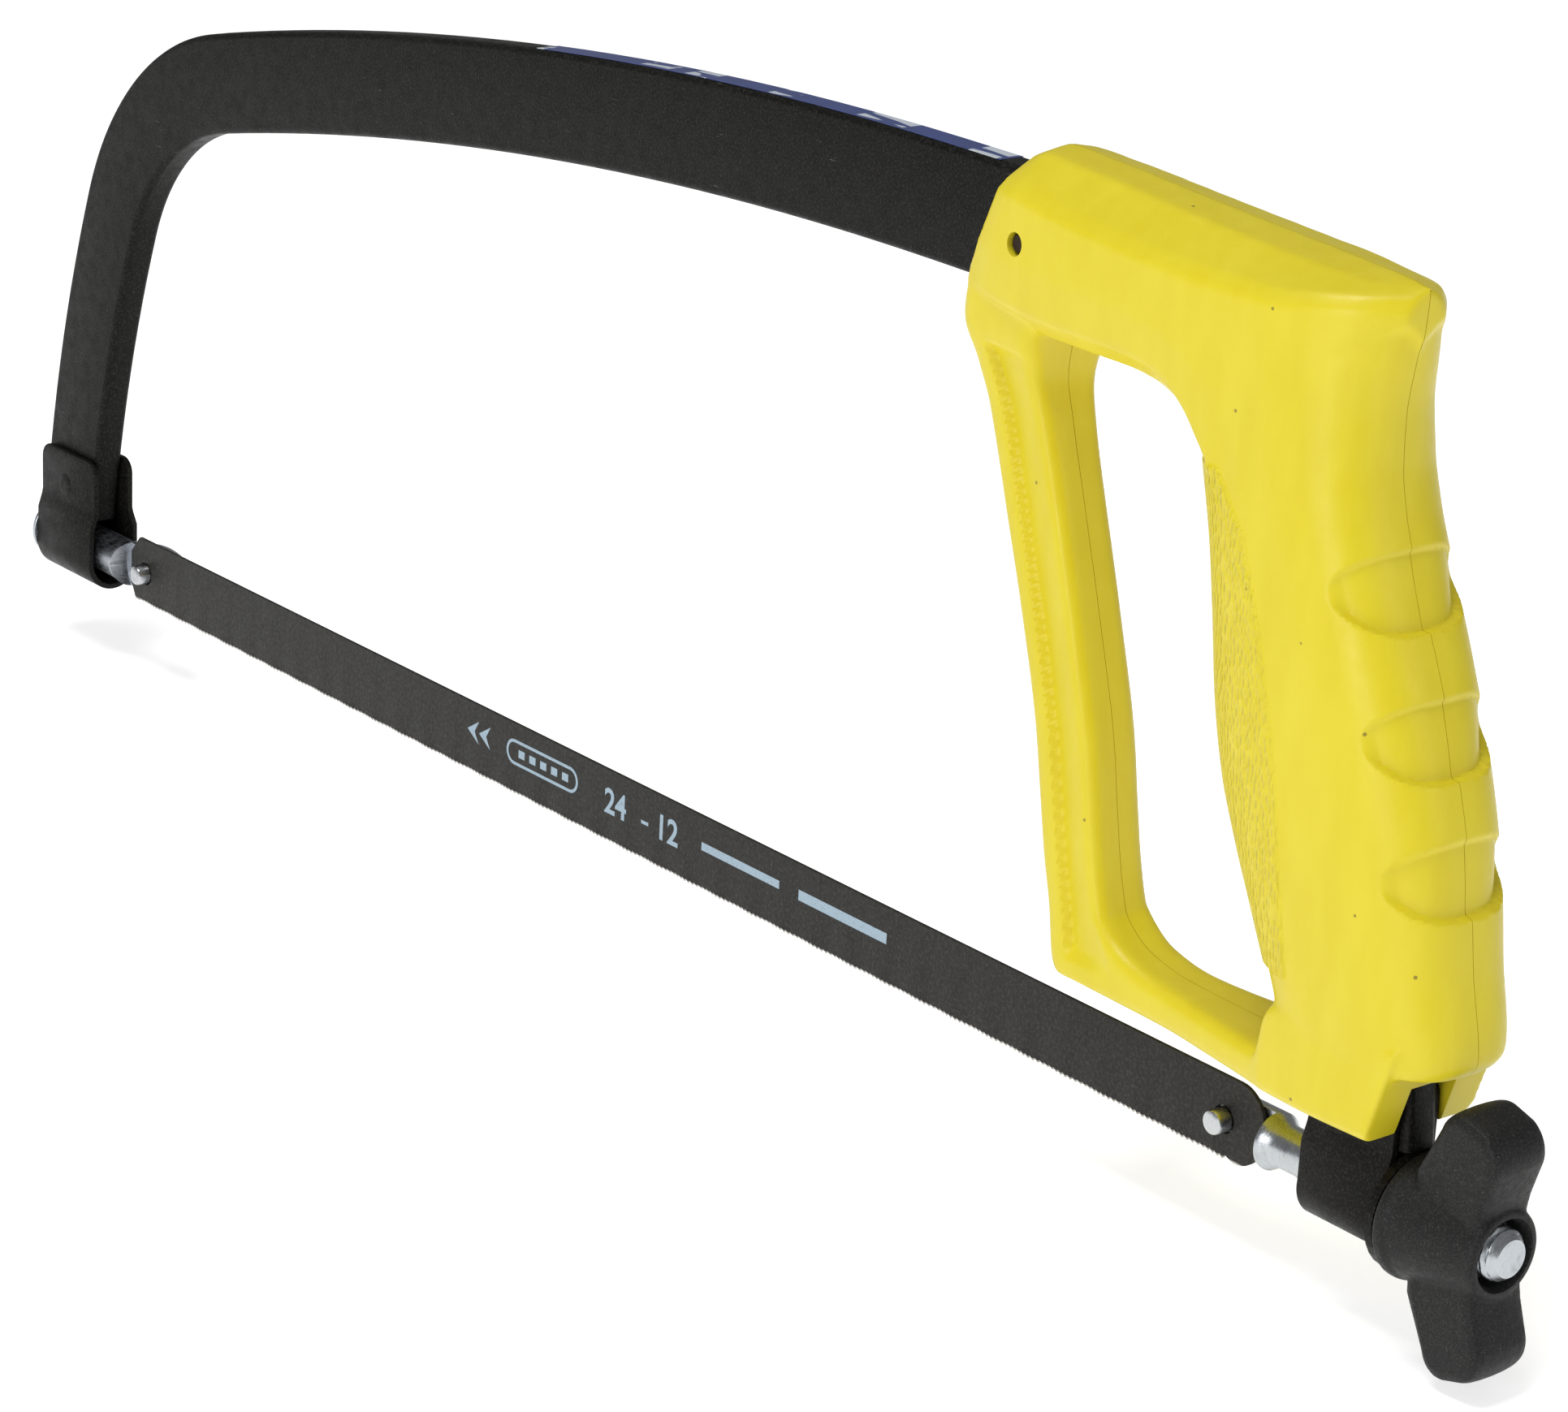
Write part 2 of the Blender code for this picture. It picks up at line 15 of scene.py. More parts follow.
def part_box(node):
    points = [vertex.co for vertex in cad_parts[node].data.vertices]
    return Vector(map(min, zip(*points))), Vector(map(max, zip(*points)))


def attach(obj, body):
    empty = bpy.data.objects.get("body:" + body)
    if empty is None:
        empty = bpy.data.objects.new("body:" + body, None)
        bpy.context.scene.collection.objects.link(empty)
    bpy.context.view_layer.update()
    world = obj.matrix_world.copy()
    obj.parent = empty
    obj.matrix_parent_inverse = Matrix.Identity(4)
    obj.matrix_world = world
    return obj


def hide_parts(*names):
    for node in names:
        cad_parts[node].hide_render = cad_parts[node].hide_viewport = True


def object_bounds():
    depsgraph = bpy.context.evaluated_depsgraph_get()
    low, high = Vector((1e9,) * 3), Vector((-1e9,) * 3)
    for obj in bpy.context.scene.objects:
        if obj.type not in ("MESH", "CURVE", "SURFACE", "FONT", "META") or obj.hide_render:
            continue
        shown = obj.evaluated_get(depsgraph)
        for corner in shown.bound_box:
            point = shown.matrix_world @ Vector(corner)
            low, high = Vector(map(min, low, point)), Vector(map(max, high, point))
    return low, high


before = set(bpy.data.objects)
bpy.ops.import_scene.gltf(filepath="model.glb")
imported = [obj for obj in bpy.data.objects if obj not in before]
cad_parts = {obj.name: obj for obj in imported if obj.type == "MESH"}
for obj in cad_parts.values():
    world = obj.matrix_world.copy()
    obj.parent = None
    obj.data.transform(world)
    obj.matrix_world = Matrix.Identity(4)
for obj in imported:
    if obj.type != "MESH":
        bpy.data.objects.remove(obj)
cad_low, cad_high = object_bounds()

MM = 0.001
GAP = 0.3                        # clearance the CAD keeps between touching pieces


def measured(node):
    """Lowest and highest corner of a CAD node in the working frame."""
    low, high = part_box(node)
    return (low - ORIGIN) / MM, (high - ORIGIN) / MM


pin_low, pin_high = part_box("front_blade_pin")
ORIGIN = Vector(((pin_low.x + pin_high.x) / 2, 0.0, (pin_low.z + pin_high.z) / 2))

# Places and sizes taken from the frame
HOLE_SPACING = (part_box("rear_blade_pin")[0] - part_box("front_blade_pin")[0]).x / MM
BLADE_LOW, BLADE_HIGH = measured("blade")
PIN_RADIUS = (pin_high.x - pin_low.x) / MM / 2
PIN_Y = tuple(y / MM for y in (pin_low.y, pin_high.y))
FLAT_Y = BLADE_HIGH.y + GAP
FRONT_SADDLE = tuple(p.x for p in measured("front_saddle"))
REAR_SADDLE = tuple(p.x for p in measured("rear_saddle"))
EAR_TOP = measured("front_saddle")[1].z
STUD_END = measured("front_stud")[1].x
BOLT_END = measured("tension_bolt")[1].x
HUB_START = measured("wing_nut")[0].x
INSERT_START = measured("wing_nut_insert")[0].x
HANDLE_PIN_LOW, HANDLE_PIN_HIGH = measured("handle_pin")
HANDLE_PIN = ((HANDLE_PIN_LOW.x + HANDLE_PIN_HIGH.x) / 2, (HANDLE_PIN_LOW.z + HANDLE_PIN_HIGH.z) / 2)
TUBE_WIDTH = measured("frame_tube")[1].y * 2

# Sizes the frame's boxes don't show, the same as in the CAD
SHANK_RADIUS = 4.0
THREAD_RADIUS = 3.9
THREAD_PITCH = 1.25
THREAD_DEPTH = 0.65
TAB_HALF = 4.4                   # half height of the milled tabs
HEAD_RADIUS = 6.0
SHEET = 1.1                      # thickness of the saddles
U_DROP = 1.7                     # how far the saddle's round bottom lies below the shank's axis
TUBE_HEIGHT = 18.0
TUBE_WALL = 1.0
TUBE_CORNER = 1.2
TUBE_START = (-26.8, 7.2)        # x and z of the front end's centre
TUBE_HEADING = 8.0               # lean of the front end from upright, in degrees
# Arcs of the tube's centre line: (length, turn in degrees, number of steps)
TUBE_ARCS = (
    (64.0, 13.0, 12),
    (50.3, 57.3, 40),
    (201.5, 12.4, 28),
    (53.4, 0.9, 4),
    (39.2, 68.4, 20),
    (90.4, 16.2, 8),
)

# Detail that only this model has
TOOTH_PITCH = 25.4 / 24          # 24 teeth per inch
TOOTH_DEPTH = 0.75
TOOTH_SET = 0.16                 # how far the teeth weave to either side
TOOTH_WAVE = 8                   # teeth in one weave
BLADE_HOLE = 2.2                 # radius of the blade's holes
PIN_HOLE = 1.75                  # radius of the hole for the handle's pin
SEAM = 0.06                      # half the gap between the handle shells
HANDLE_VOXEL = 0.45              # cell of the grid the handle is fused on
HANDLE_PASSES = 10               # smoothing passes after that
NUT_VOXEL = 0.25
NUT_PASSES = 7
LABEL_SPAN = (122.0, 246.0)      # where the label on the spine starts and ends


# ---------------------------------------------------------------- mesh helpers

def smooth_step(low, high, value):
    """0 below low, 1 above high, and a smooth rise between."""
    t = np.clip((value - low) / (high - low), 0.0, 1.0)
    return t * t * (3 - 2 * t)


def loft(rings):
    """Join rings of equally many points into one closed body with capped ends."""
    bm = bmesh.new()
    rows = [[bm.verts.new(point) for point in ring] for ring in rings]
    count = len(rows[0])
    for low, high in zip(rows, rows[1:]):
        for i in range(count):
            j = (i + 1) % count
            bm.faces.new((low[i], low[j], high[j], high[i]))
    bm.faces.new(list(reversed(rows[0])))
    bm.faces.new(rows[-1])
    bmesh.ops.recalc_face_normals(bm, faces=bm.faces)
    return bm


def turned(profile, segments=64):
    """Turn (x, radius) pairs about the x axis."""
    angles = [2 * math.pi * i / segments for i in range(segments)]
    return loft([[(x, r * math.cos(a), r * math.sin(a)) for a in angles] for x, r in profile])


def peg(x, z, stations, segments=40):
    """A round peg along y with a (y, radius) pair for each ring."""
    angles = [2 * math.pi * i / segments for i in range(segments)]
    return loft([[(x + r * math.cos(a), y, z + r * math.sin(a)) for a in angles] for y, r in stations])


def box(low, high):
    """A box between two corners."""
    bm = bmesh.new()
    size = Vector(high) - Vector(low)
    place = Matrix.Translation((Vector(high) + Vector(low)) / 2) @ Matrix.Diagonal((*size, 1.0))
    bmesh.ops.create_cube(bm, size=1.0, matrix=place)
    return bm


def arc(cx, cy, radius, start, end, steps):
    """Points of an arc, angles in degrees."""
    angles = [math.radians(start + (end - start) * i / steps) for i in range(steps + 1)]
    return [(cx + radius * math.cos(a), cy + radius * math.sin(a)) for a in angles]


def round_rect(half_width, half_height, radius, steps):
    """Outline of a rectangle with round corners."""
    dx = half_width - radius
    dy = half_height - radius
    points = arc(dx, dy, radius, 0, 90, steps)
    points += arc(-dx, dy, radius, 90, 180, steps)
    points += arc(-dx, -dy, radius, 180, 270, steps)
    points += arc(dx, -dy, radius, 270, 360, steps)
    return points


def monotone(xs, ys, queries):
    """Smooth values at queries through (xs, ys), with no overshoot."""
    xs = np.asarray(xs, float)
    ys = np.asarray(ys, float)
    gaps = np.diff(xs)
    slopes = np.diff(ys) / gaps
    tangents = np.concatenate(([slopes[0]], np.zeros(len(xs) - 2), [slopes[-1]]))
    for i in range(1, len(xs) - 1):
        if slopes[i - 1] * slopes[i] > 0:
            w1 = 2 * gaps[i] + gaps[i - 1]
            w2 = gaps[i] + 2 * gaps[i - 1]
            tangents[i] = (w1 + w2) / (w1 / slopes[i - 1] + w2 / slopes[i])
    i = np.clip(np.searchsorted(xs, queries) - 1, 0, len(gaps) - 1)
    t = (queries - xs[i]) / gaps[i]
    h00 = (1 + 2 * t) * (1 - t) ** 2
    h10 = t * (1 - t) ** 2
    h01 = t * t * (3 - 2 * t)
    h11 = t * t * (t - 1)
    return h00 * ys[i] + h10 * gaps[i] * tangents[i] + h01 * ys[i + 1] + h11 * gaps[i] * tangents[i + 1]


def refined(stations, step):
    """Stations resampled every step along their first column."""
    table = np.array(stations, float)
    count = max(2, int((table[-1, 0] - table[0, 0]) / step) + 1)
    queries = np.linspace(table[0, 0], table[-1, 0], count)
    columns = [queries] + [monotone(table[:, 0], table[:, c], queries) for c in range(1, table.shape[1])]
    return np.stack(columns, axis=1)


def make(name, bm, angle=35.0):
    """An object of bm, still in millimetres in the working frame."""
    bmesh.ops.recalc_face_normals(bm, faces=bm.faces)
    mesh = bpy.data.meshes.new(name)
    bm.to_mesh(mesh)
    bm.free()
    mesh.shade_smooth()
    mesh.set_sharp_from_angle(angle=math.radians(angle))
    obj = bpy.data.objects.new(name, mesh)
    bpy.context.scene.collection.objects.link(obj)
    return obj


def settle(obj, angle=35.0):
    """Apply obj's modifiers."""
    bpy.context.view_layer.update()
    graph = bpy.context.evaluated_depsgraph_get()
    mesh = bpy.data.meshes.new_from_object(obj.evaluated_get(graph))
    obj.modifiers.clear()
    obj.data = mesh
    mesh.shade_smooth()
    mesh.set_sharp_from_angle(angle=math.radians(angle))
    return obj


def cut(obj, bm, angle=35.0):
    """Cut bm away from obj with one exact Boolean."""
    tool = make("cutter", bm)
    modifier = obj.modifiers.new("cut", "BOOLEAN")
    modifier.operation = "DIFFERENCE"
    modifier.solver = "EXACT"
    modifier.object = tool
    settle(obj, angle)
    bpy.data.objects.remove(tool)
    return obj


def rounded(obj, width, segments=3, angle=35.0):
    """Round obj's sharp edges."""
    modifier = obj.modifiers.new("edges", "BEVEL")
    modifier.width = width
    modifier.segments = segments
    modifier.limit_method = "ANGLE"
    modifier.angle_limit = math.radians(angle)
    modifier.harden_normals = False
    return settle(obj, 60.0)


def merged(name, solids, voxel, passes):
    """Closed solids fused into one skin on a voxel grid, then smoothed."""
    mesh = bpy.data.meshes.new(name)
    whole = bmesh.new()
    for bm in solids:
        part = bpy.data.meshes.new("part")
        bm.to_mesh(part)
        bm.free()
        whole.from_mesh(part)
        bpy.data.meshes.remove(part)
    whole.to_mesh(mesh)
    whole.free()
    obj = bpy.data.objects.new(name, mesh)
    bpy.context.scene.collection.objects.link(obj)
    modifier = obj.modifiers.new("skin", "REMESH")
    modifier.mode = "VOXEL"
    modifier.voxel_size = voxel
    modifier = obj.modifiers.new("soften", "SMOOTH")
    modifier.factor = 0.5
    modifier.iterations = passes
    return settle(obj)


def points_of(obj):
    """Vertex places and normals as arrays."""
    count = len(obj.data.vertices)
    co = np.zeros(count * 3, np.float32)
    normal = np.zeros(count * 3, np.float32)
    obj.data.vertices.foreach_get("co", co)
    obj.data.vertices.foreach_get("normal", normal)
    return co.reshape(-1, 3).astype(float), normal.reshape(-1, 3).astype(float)


def finish_piece(obj, mat, body, *nodes):
    """Bring obj into the row frame, paint it and let it stand for the CAD nodes."""
    obj.data.transform(Matrix.Translation(ORIGIN) @ Matrix.Diagonal((MM, MM, MM, 1.0)))
    obj.data.materials.clear()
    obj.data.materials.append(mat)
    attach(obj, body)
    if nodes:
        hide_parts(*nodes)
    return obj


# ---------------------------------------------------------------- materials

class Paint:
    """A Principled material with millimetre object coordinates and small node helpers."""

    def __init__(self, name, colour, metallic, roughness):
        self.material = bpy.data.materials.new(name)
        self.material.use_nodes = True
        self.tree = self.material.node_tree
        self.shader = self.tree.nodes["Principled BSDF"]
        self.shader.inputs["Base Color"].default_value = (*colour, 1.0)
        self.shader.inputs["Metallic"].default_value = metallic
        self.shader.inputs["Roughness"].default_value = roughness
        self.place = self.node("ShaderNodeMapping")
        self.place.inputs["Scale"].default_value = (1 / MM, 1 / MM, 1 / MM)
        self.link(self.node("ShaderNodeTexCoord").outputs["Object"], self.place.inputs["Vector"])
        self.height = None

    def node(self, kind):
        return self.tree.nodes.new(kind)

    def link(self, source, target):
        self.tree.links.new(source, target)

    def set(self, **values):
        for name, value in values.items():
            self.shader.inputs[name.replace("_", " ")].default_value = value

    def stretch(self, scale):
        """Coordinates scaled differently along each axis."""
        node = self.node("ShaderNodeMapping")
        node.inputs["Scale"].default_value = scale
        self.link(self.place.outputs["Vector"], node.inputs["Vector"])
        return node.outputs["Vector"]

    def noise(self, scale, detail=3.0, rough=0.5, stretch=None):
        """Noise of a given number of features per millimetre."""
        node = self.node("ShaderNodeTexNoise")
        node.inputs["Scale"].default_value = scale
        node.inputs["Detail"].default_value = detail
        node.inputs["Roughness"].default_value = rough
        source = self.stretch(stretch) if stretch else self.place.outputs["Vector"]
        self.link(source, node.inputs["Vector"])
        return node.outputs["Fac"]

    def cells(self, scale, stretch=None):
        """Distance to the nearest of scattered points, of a given number per millimetre."""
        node = self.node("ShaderNodeTexVoronoi")
        node.inputs["Scale"].default_value = scale
        source = self.stretch(stretch) if stretch else self.place.outputs["Vector"]
        self.link(source, node.inputs["Vector"])
        return node.outputs["Distance"]

    def ramp(self, source, low, high, start=0.0, end=1.0):
        """source between low and high mapped to start..end."""
        node = self.node("ShaderNodeMapRange")
        node.inputs["From Min"].default_value = low
        node.inputs["From Max"].default_value = high
        node.inputs["To Min"].default_value = start
        node.inputs["To Max"].default_value = end
        self.link(source, node.inputs["Value"])
        return node.outputs["Result"]

    def math(self, operation, a, b):
        node = self.node("ShaderNodeMath")
        node.operation = operation
        for socket, value in zip(node.inputs, (a, b)):
            if isinstance(value, (int, float)):
                socket.default_value = value
            else:
                self.link(value, socket)
        return node.outputs["Value"]

    def mix(self, factor, a, b):
        """Mix two colours, each a colour or a socket."""
        node = self.node("ShaderNodeMix")
        node.data_type = "RGBA"
        self.link(factor, node.inputs["Factor"])
        for socket, value in zip((node.inputs[6], node.inputs[7]), (a, b)):
            if isinstance(value, tuple):
                socket.default_value = (*value, 1.0)
            else:
                self.link(value, socket)
        return node.outputs[2]

    def axis(self, name):
        node = self.node("ShaderNodeSeparateXYZ")
        self.link(self.place.outputs["Vector"], node.inputs["Vector"])
        return node.outputs[name]

    def attribute(self, name):
        node = self.node("ShaderNodeAttribute")
        node.attribute_name = name
        return node.outputs["Fac"]

    def colour(self, socket):
        self.link(socket, self.shader.inputs["Base Color"])

    def roughness(self, socket):
        self.link(socket, self.shader.inputs["Roughness"])

    def metallic(self, socket):
        self.link(socket, self.shader.inputs["Metallic"])

    def bump(self, height, depth, strength=1.0):
        """Add a bump of a given depth in millimetres."""
        node = self.node("ShaderNodeBump")
        node.inputs["Strength"].default_value = strength
        node.inputs["Distance"].default_value = depth * MM
        self.link(height, node.inputs["Height"])
        if self.height:
            self.link(self.height, node.inputs["Normal"])
        self.height = node.outputs["Normal"]
        self.link(self.height, self.shader.inputs["Normal"])


def powder_coat():
    """Satin black paint with orange peel, a fine pale grain that is partly texture and partly painted sparkle
    glints, pale dust specks and a few scratches.
    """
    paint = Paint("black_powder_coat", (0.008, 0.008, 0.0075), 0.0, 0.42)
    paint.set(Specular_IOR_Level=0.10)
    shade = paint.mix(paint.noise(0.05, 4.0), (0.0028, 0.0028, 0.0026), (0.006, 0.0058, 0.0053))
    # fine pale grain: the coat's texture, with its sparkle glints painted in as lighter colour
    grain = paint.ramp(paint.noise(2.4, 2.0, 0.7), 0.48, 0.68, 0.0, 0.75)
    shade = paint.mix(grain, shade, (0.027, 0.026, 0.023))
    specks = paint.ramp(paint.cells(1.1), 0.05, 0.09, 1.0, 0.0)
    rare = paint.ramp(paint.noise(0.35, 1.0), 0.58, 0.64)
    shade = paint.mix(paint.math("MULTIPLY", specks, rare), shade, (0.10, 0.09, 0.08))
    streaks = paint.ramp(paint.noise(1.0, 2.0, 0.6, (0.25, 1.0, 2.2)), 0.70, 0.74)
    worn = paint.ramp(paint.noise(0.06, 1.0), 0.55, 0.68)
    shade = paint.mix(paint.math("MULTIPLY", streaks, worn), shade, (0.09, 0.088, 0.08))
    paint.colour(shade)
    paint.roughness(paint.ramp(paint.noise(0.4, 4.0), 0.3, 0.7, 0.36, 0.52))
    paint.bump(paint.noise(2.6, 3.0, 0.6), 0.05)
    paint.bump(paint.noise(9.0, 2.0), 0.012)
    return paint.material


def handle_plastic():
    """Semi-gloss yellow plastic: moulded grain, faint flow marks, dark specks, a stippled panel."""
    paint = Paint("handle_yellow", (0.70, 0.57, 0.014), 0.0, 0.36)
    paint.set(Subsurface_Weight=0.0, Specular_IOR_Level=0.32)
    shade = paint.mix(paint.noise(0.03, 3.0), (0.61, 0.50, 0.012), (0.68, 0.56, 0.020))
    shade = paint.mix(paint.ramp(paint.noise(0.25, 3.0, 0.5, (1.0, 1.0, 0.3)), 0.35, 0.75, 0.0, 0.3),
                      shade, (0.74, 0.64, 0.045))
    specks = paint.ramp(paint.cells(0.16), 0.035, 0.055, 0.8, 0.0)
    rare = paint.ramp(paint.noise(0.09, 1.0), 0.50, 0.54)
    shade = paint.mix(paint.math("MULTIPLY", specks, rare), shade, (0.16, 0.11, 0.02))
    paint.colour(shade)
    paint.roughness(paint.ramp(paint.noise(0.8, 4.0), 0.3, 0.7, 0.32, 0.44))
    paint.bump(paint.noise(3.2, 3.0, 0.55), 0.02)
    scales = paint.ramp(paint.cells(0.95, (1.5, 1.0, 0.7)), 0.15, 0.75)
    paint.bump(paint.math("MULTIPLY", scales, paint.attribute("stipple")), 0.28)
    return paint.material


def nut_plastic():
    """Black moulded plastic with a fine grain and pale scuffs."""
    paint = Paint("wing_nut_black", (0.01, 0.01, 0.01), 0.0, 0.5)
    paint.set(Specular_IOR_Level=0.17)
    shade = paint.mix(paint.noise(0.2, 4.0), (0.006, 0.0063, 0.0064), (0.014, 0.0143, 0.0142))
    grain = paint.ramp(paint.noise(3.2, 2.0, 0.7), 0.48, 0.68, 0.0, 0.6)
    shade = paint.mix(grain, shade, (0.040, 0.040, 0.038))
    specks = paint.ramp(paint.cells(1.6), 0.06, 0.13, 1.0, 0.0)
    rare = paint.ramp(paint.noise(0.5, 2.0), 0.52, 0.62)
    shade = paint.mix(paint.math("MULTIPLY", specks, rare), shade, (0.16, 0.16, 0.155))
    paint.colour(shade)
    paint.roughness(paint.ramp(paint.noise(1.2, 3.0), 0.3, 0.7, 0.42, 0.58))
    paint.bump(paint.noise(4.0, 3.0, 0.6), 0.05)
    return paint.material


def bright_steel(name, tint, rough, grain):
    """Bright plated steel with turning or milling lines along one axis."""
    paint = Paint(name, tint, 1.0, rough)
    dark = tuple(0.72 * c for c in tint)
    shade = paint.mix(paint.noise(0.5, 4.0, 0.6, grain), dark, tint)
    stain = paint.ramp(paint.noise(0.45, 4.0), 0.56, 0.72, 0.0, 0.55)
    shade = paint.mix(stain, shade, tuple(0.42 * c for c in tint))
    paint.colour(shade)
    paint.roughness(paint.ramp(paint.noise(1.4, 4.0, 0.6, grain), 0.3, 0.7, rough - 0.07, rough + 0.12))
    paint.bump(paint.noise(2.2, 3.0, 0.6, grain), 0.02)
    paint.bump(paint.noise(1.1, 3.0), 0.02)
    return paint.material


def blade_steel():
    """Brown-black lacquered strip whose tooth tips are ground bare."""
    paint = Paint("blade_black", (0.012, 0.011, 0.0095), 0.0, 0.42)
    paint.set(Specular_IOR_Level=0.17)
    shade = paint.mix(paint.noise(0.7, 4.0, 0.6, (1.0, 1.0, 0.25)), (0.009, 0.0085, 0.0075),
                      (0.019, 0.018, 0.016))
    grain = paint.ramp(paint.noise(1.6, 2.0, 0.7), 0.46, 0.68, 0.0, 0.6)
    shade = paint.mix(grain, shade, (0.045, 0.043, 0.038))
    specks = paint.ramp(paint.cells(1.3), 0.05, 0.10, 1.0, 0.0)
    rare = paint.ramp(paint.noise(0.3, 1.0), 0.60, 0.66)
    shade = paint.mix(paint.math("MULTIPLY", specks, rare), shade, (0.16, 0.155, 0.145))
    low = (ORIGIN.z / MM) + BLADE_LOW.z
    bare = paint.ramp(paint.axis("Z"), low + 0.18, low + 0.48, 1.0, 0.0)
    shade = paint.mix(bare, shade, (0.55, 0.54, 0.51))
    paint.colour(shade)
    paint.metallic(bare)
    paint.roughness(paint.ramp(paint.noise(1.0, 4.0), 0.3, 0.7, 0.36, 0.5))
    paint.bump(paint.noise(3.5, 3.0, 0.6, (1.0, 1.0, 0.3)), 0.025)
    return paint.material


def print_ink():
    """Pale blue-grey ink with thin patches."""
    paint = Paint("pale_ink", (0.30, 0.40, 0.48), 0.0, 0.55)
    thin = paint.ramp(paint.noise(2.2, 4.0, 0.65), 0.52, 0.75, 0.0, 0.7)
    paint.colour(paint.mix(thin, (0.30, 0.40, 0.48), (0.14, 0.17, 0.19)))
    paint.bump(paint.noise(5.0, 2.0), 0.01)
    return paint.material


def label_film():
    """Blue printed film with pale plain blocks."""
    paint = Paint("label_blue", (0.005, 0.02, 0.16), 0.0, 0.3)
    blocks = paint.ramp(paint.noise(0.09, 0.0, 0.5, (1.0, 0.02, 0.02)), 0.565, 0.575)
    rows = paint.ramp(paint.noise(0.6, 0.0, 0.5, (0.15, 1.0, 0.05)), 0.46, 0.50)
    shade = paint.mix(paint.noise(0.3, 3.0), (0.006, 0.02, 0.12), (0.014, 0.045, 0.24))
    shade = paint.mix(paint.math("MULTIPLY", blocks, rows), shade, (0.55, 0.60, 0.66))
    paint.colour(shade)
    paint.bump(paint.noise(1.5, 2.0), 0.01)
    return paint.material


BLACK = powder_coat()
YELLOW = handle_plastic()
NUT_BLACK = nut_plastic()
ZINC = bright_steel("zinc_turned", (0.50, 0.53, 0.56), 0.26, (3.0, 0.6, 0.6))
MILLED = bright_steel("zinc_milled", (0.48, 0.51, 0.55), 0.30, (0.5, 0.5, 3.0))
PIN_STEEL = bright_steel("bright_pin", (0.55, 0.57, 0.59), 0.24, (1.0, 0.4, 1.0))
DULL_STEEL = bright_steel("dull_pin", (0.05, 0.035, 0.025), 0.42, (1.0, 1.0, 1.0))
BLADE_STEEL = blade_steel()
INK = print_ink()
LABEL = label_film()


# ---------------------------------------------------------------- frame tube

def tube_line():
    """Centre line of the tube: (x, z, heading in radians from upright)."""
    x, z = TUBE_START
    heading = math.radians(TUBE_HEADING)
    line = [(x, z, heading)]
    for length, turn, steps in TUBE_ARCS:
        for _ in range(steps):
            middle = heading + math.radians(turn) / steps / 2
            x += length / steps * math.sin(middle)
            z += length / steps * math.cos(middle)
            heading += math.radians(turn) / steps
            line.append((x, z, heading))
    return line


def swept(line, section):
    """Rings of a section (y, outward) carried along the centre line."""
    rings = []
    for x, z, heading in line:
        out = (-math.cos(heading), math.sin(heading))
        rings.append([(x + out[0] * v, y, z + out[1] * v) for y, v in section])
    return rings


def frame_tube():
    """Hollow flat-sided tube, open at both ends."""
    line = tube_line()
    outer = swept(line, round_rect(TUBE_WIDTH / 2, TUBE_HEIGHT / 2, TUBE_CORNER, 5))
    inner = swept(line, round_rect(TUBE_WIDTH / 2 - TUBE_WALL, TUBE_HEIGHT / 2 - TUBE_WALL, 0.4, 5))
    bm = bmesh.new()
    shells = [[[bm.verts.new(p) for p in ring] for ring in rings] for rings in (outer, inner)]
    count = len(outer[0])
    for rows in shells:
        for low, high in zip(rows, rows[1:]):
            for i in range(count):
                j = (i + 1) % count
                bm.faces.new((low[i], low[j], high[j], high[i]))
    for end in (0, -1):
        for i in range(count):
            j = (i + 1) % count
            bm.faces.new((shells[0][end][i], shells[0][end][j],
                          shells[1][end][j], shells[1][end][i]))
    return make("frame_tube_skin", bm)


def spine_label(start, end):
    """Thin film along the top of the spine between two x positions."""
    line = [p for p in tube_line() if start < p[0] < end and p[1] > 100]
    half = TUBE_WIDTH / 2 - 0.7
    top = TUBE_HEIGHT / 2
    section = [(-half, top - 0.05), (half, top - 0.05), (half, top + 0.04), (-half, top + 0.04)]
    return make("spine_label", loft(swept(line, section)))


finish_piece(frame_tube(), BLACK, "frame", "frame_tube")
finish_piece(spine_label(*LABEL_SPAN), LABEL, "frame")


# ---------------------------------------------------------------- saddles

def saddle(name, span, ear_round):
    """Sheet folded into a U round the shank, its ears up both sides of the tube."""
    inner_radius = SHANK_RADIUS + 0.35
    ear = TUBE_WIDTH / 2 + GAP
    inner = [(-ear, EAR_TOP), (-ear, 8.6), (-ear - 0.25, 7.6), (-inner_radius + 0.1, 5.0)]
    inner += arc(0, -U_DROP, inner_radius, 172, 368, 28)
    inner += [(inner_radius - 0.1, 5.0), (ear + 0.25, 7.6), (ear, 8.6), (ear, EAR_TOP)]
    outer_radius = inner_radius + SHEET
    ear += SHEET
    outer = [(ear, EAR_TOP), (ear, 9.0), (ear + 0.2, 8.0), (outer_radius - 0.1, 5.4)]
    outer += arc(0, -U_DROP, outer_radius, 8, -188, 28)
    outer += [(-outer_radius + 0.1, 5.4), (-ear - 0.2, 8.0), (-ear, 9.0), (-ear, EAR_TOP)]
    bm = loft([[(x, y, z) for y, z in inner + outer] for x in span])
    corners = [e for e in bm.edges if all(abs(v.co.z - EAR_TOP) < 0.01 for v in e.verts)
               and abs(e.verts[0].co.x - e.verts[1].co.x) < 0.01]
    bmesh.ops.bevel(bm, geom=corners, offset=ear_round, segments=8, profile=0.5, affect="EDGES")
    return rounded(make(name, bm), 0.22, 2, 50.0)


finish_piece(saddle("front_saddle_skin", FRONT_SADDLE, 3.0), BLACK, "frame", "front_saddle")
finish_piece(saddle("rear_saddle_skin", REAR_SADDLE, 3.0), BLACK, "frame", "rear_saddle")


# ---------------------------------------------------------------- stud, bolt and pins

RUNOUT_RADIUS = 7.0              # round end that the cutter leaves on the stud's flat
RUNOUT_X = -1.5


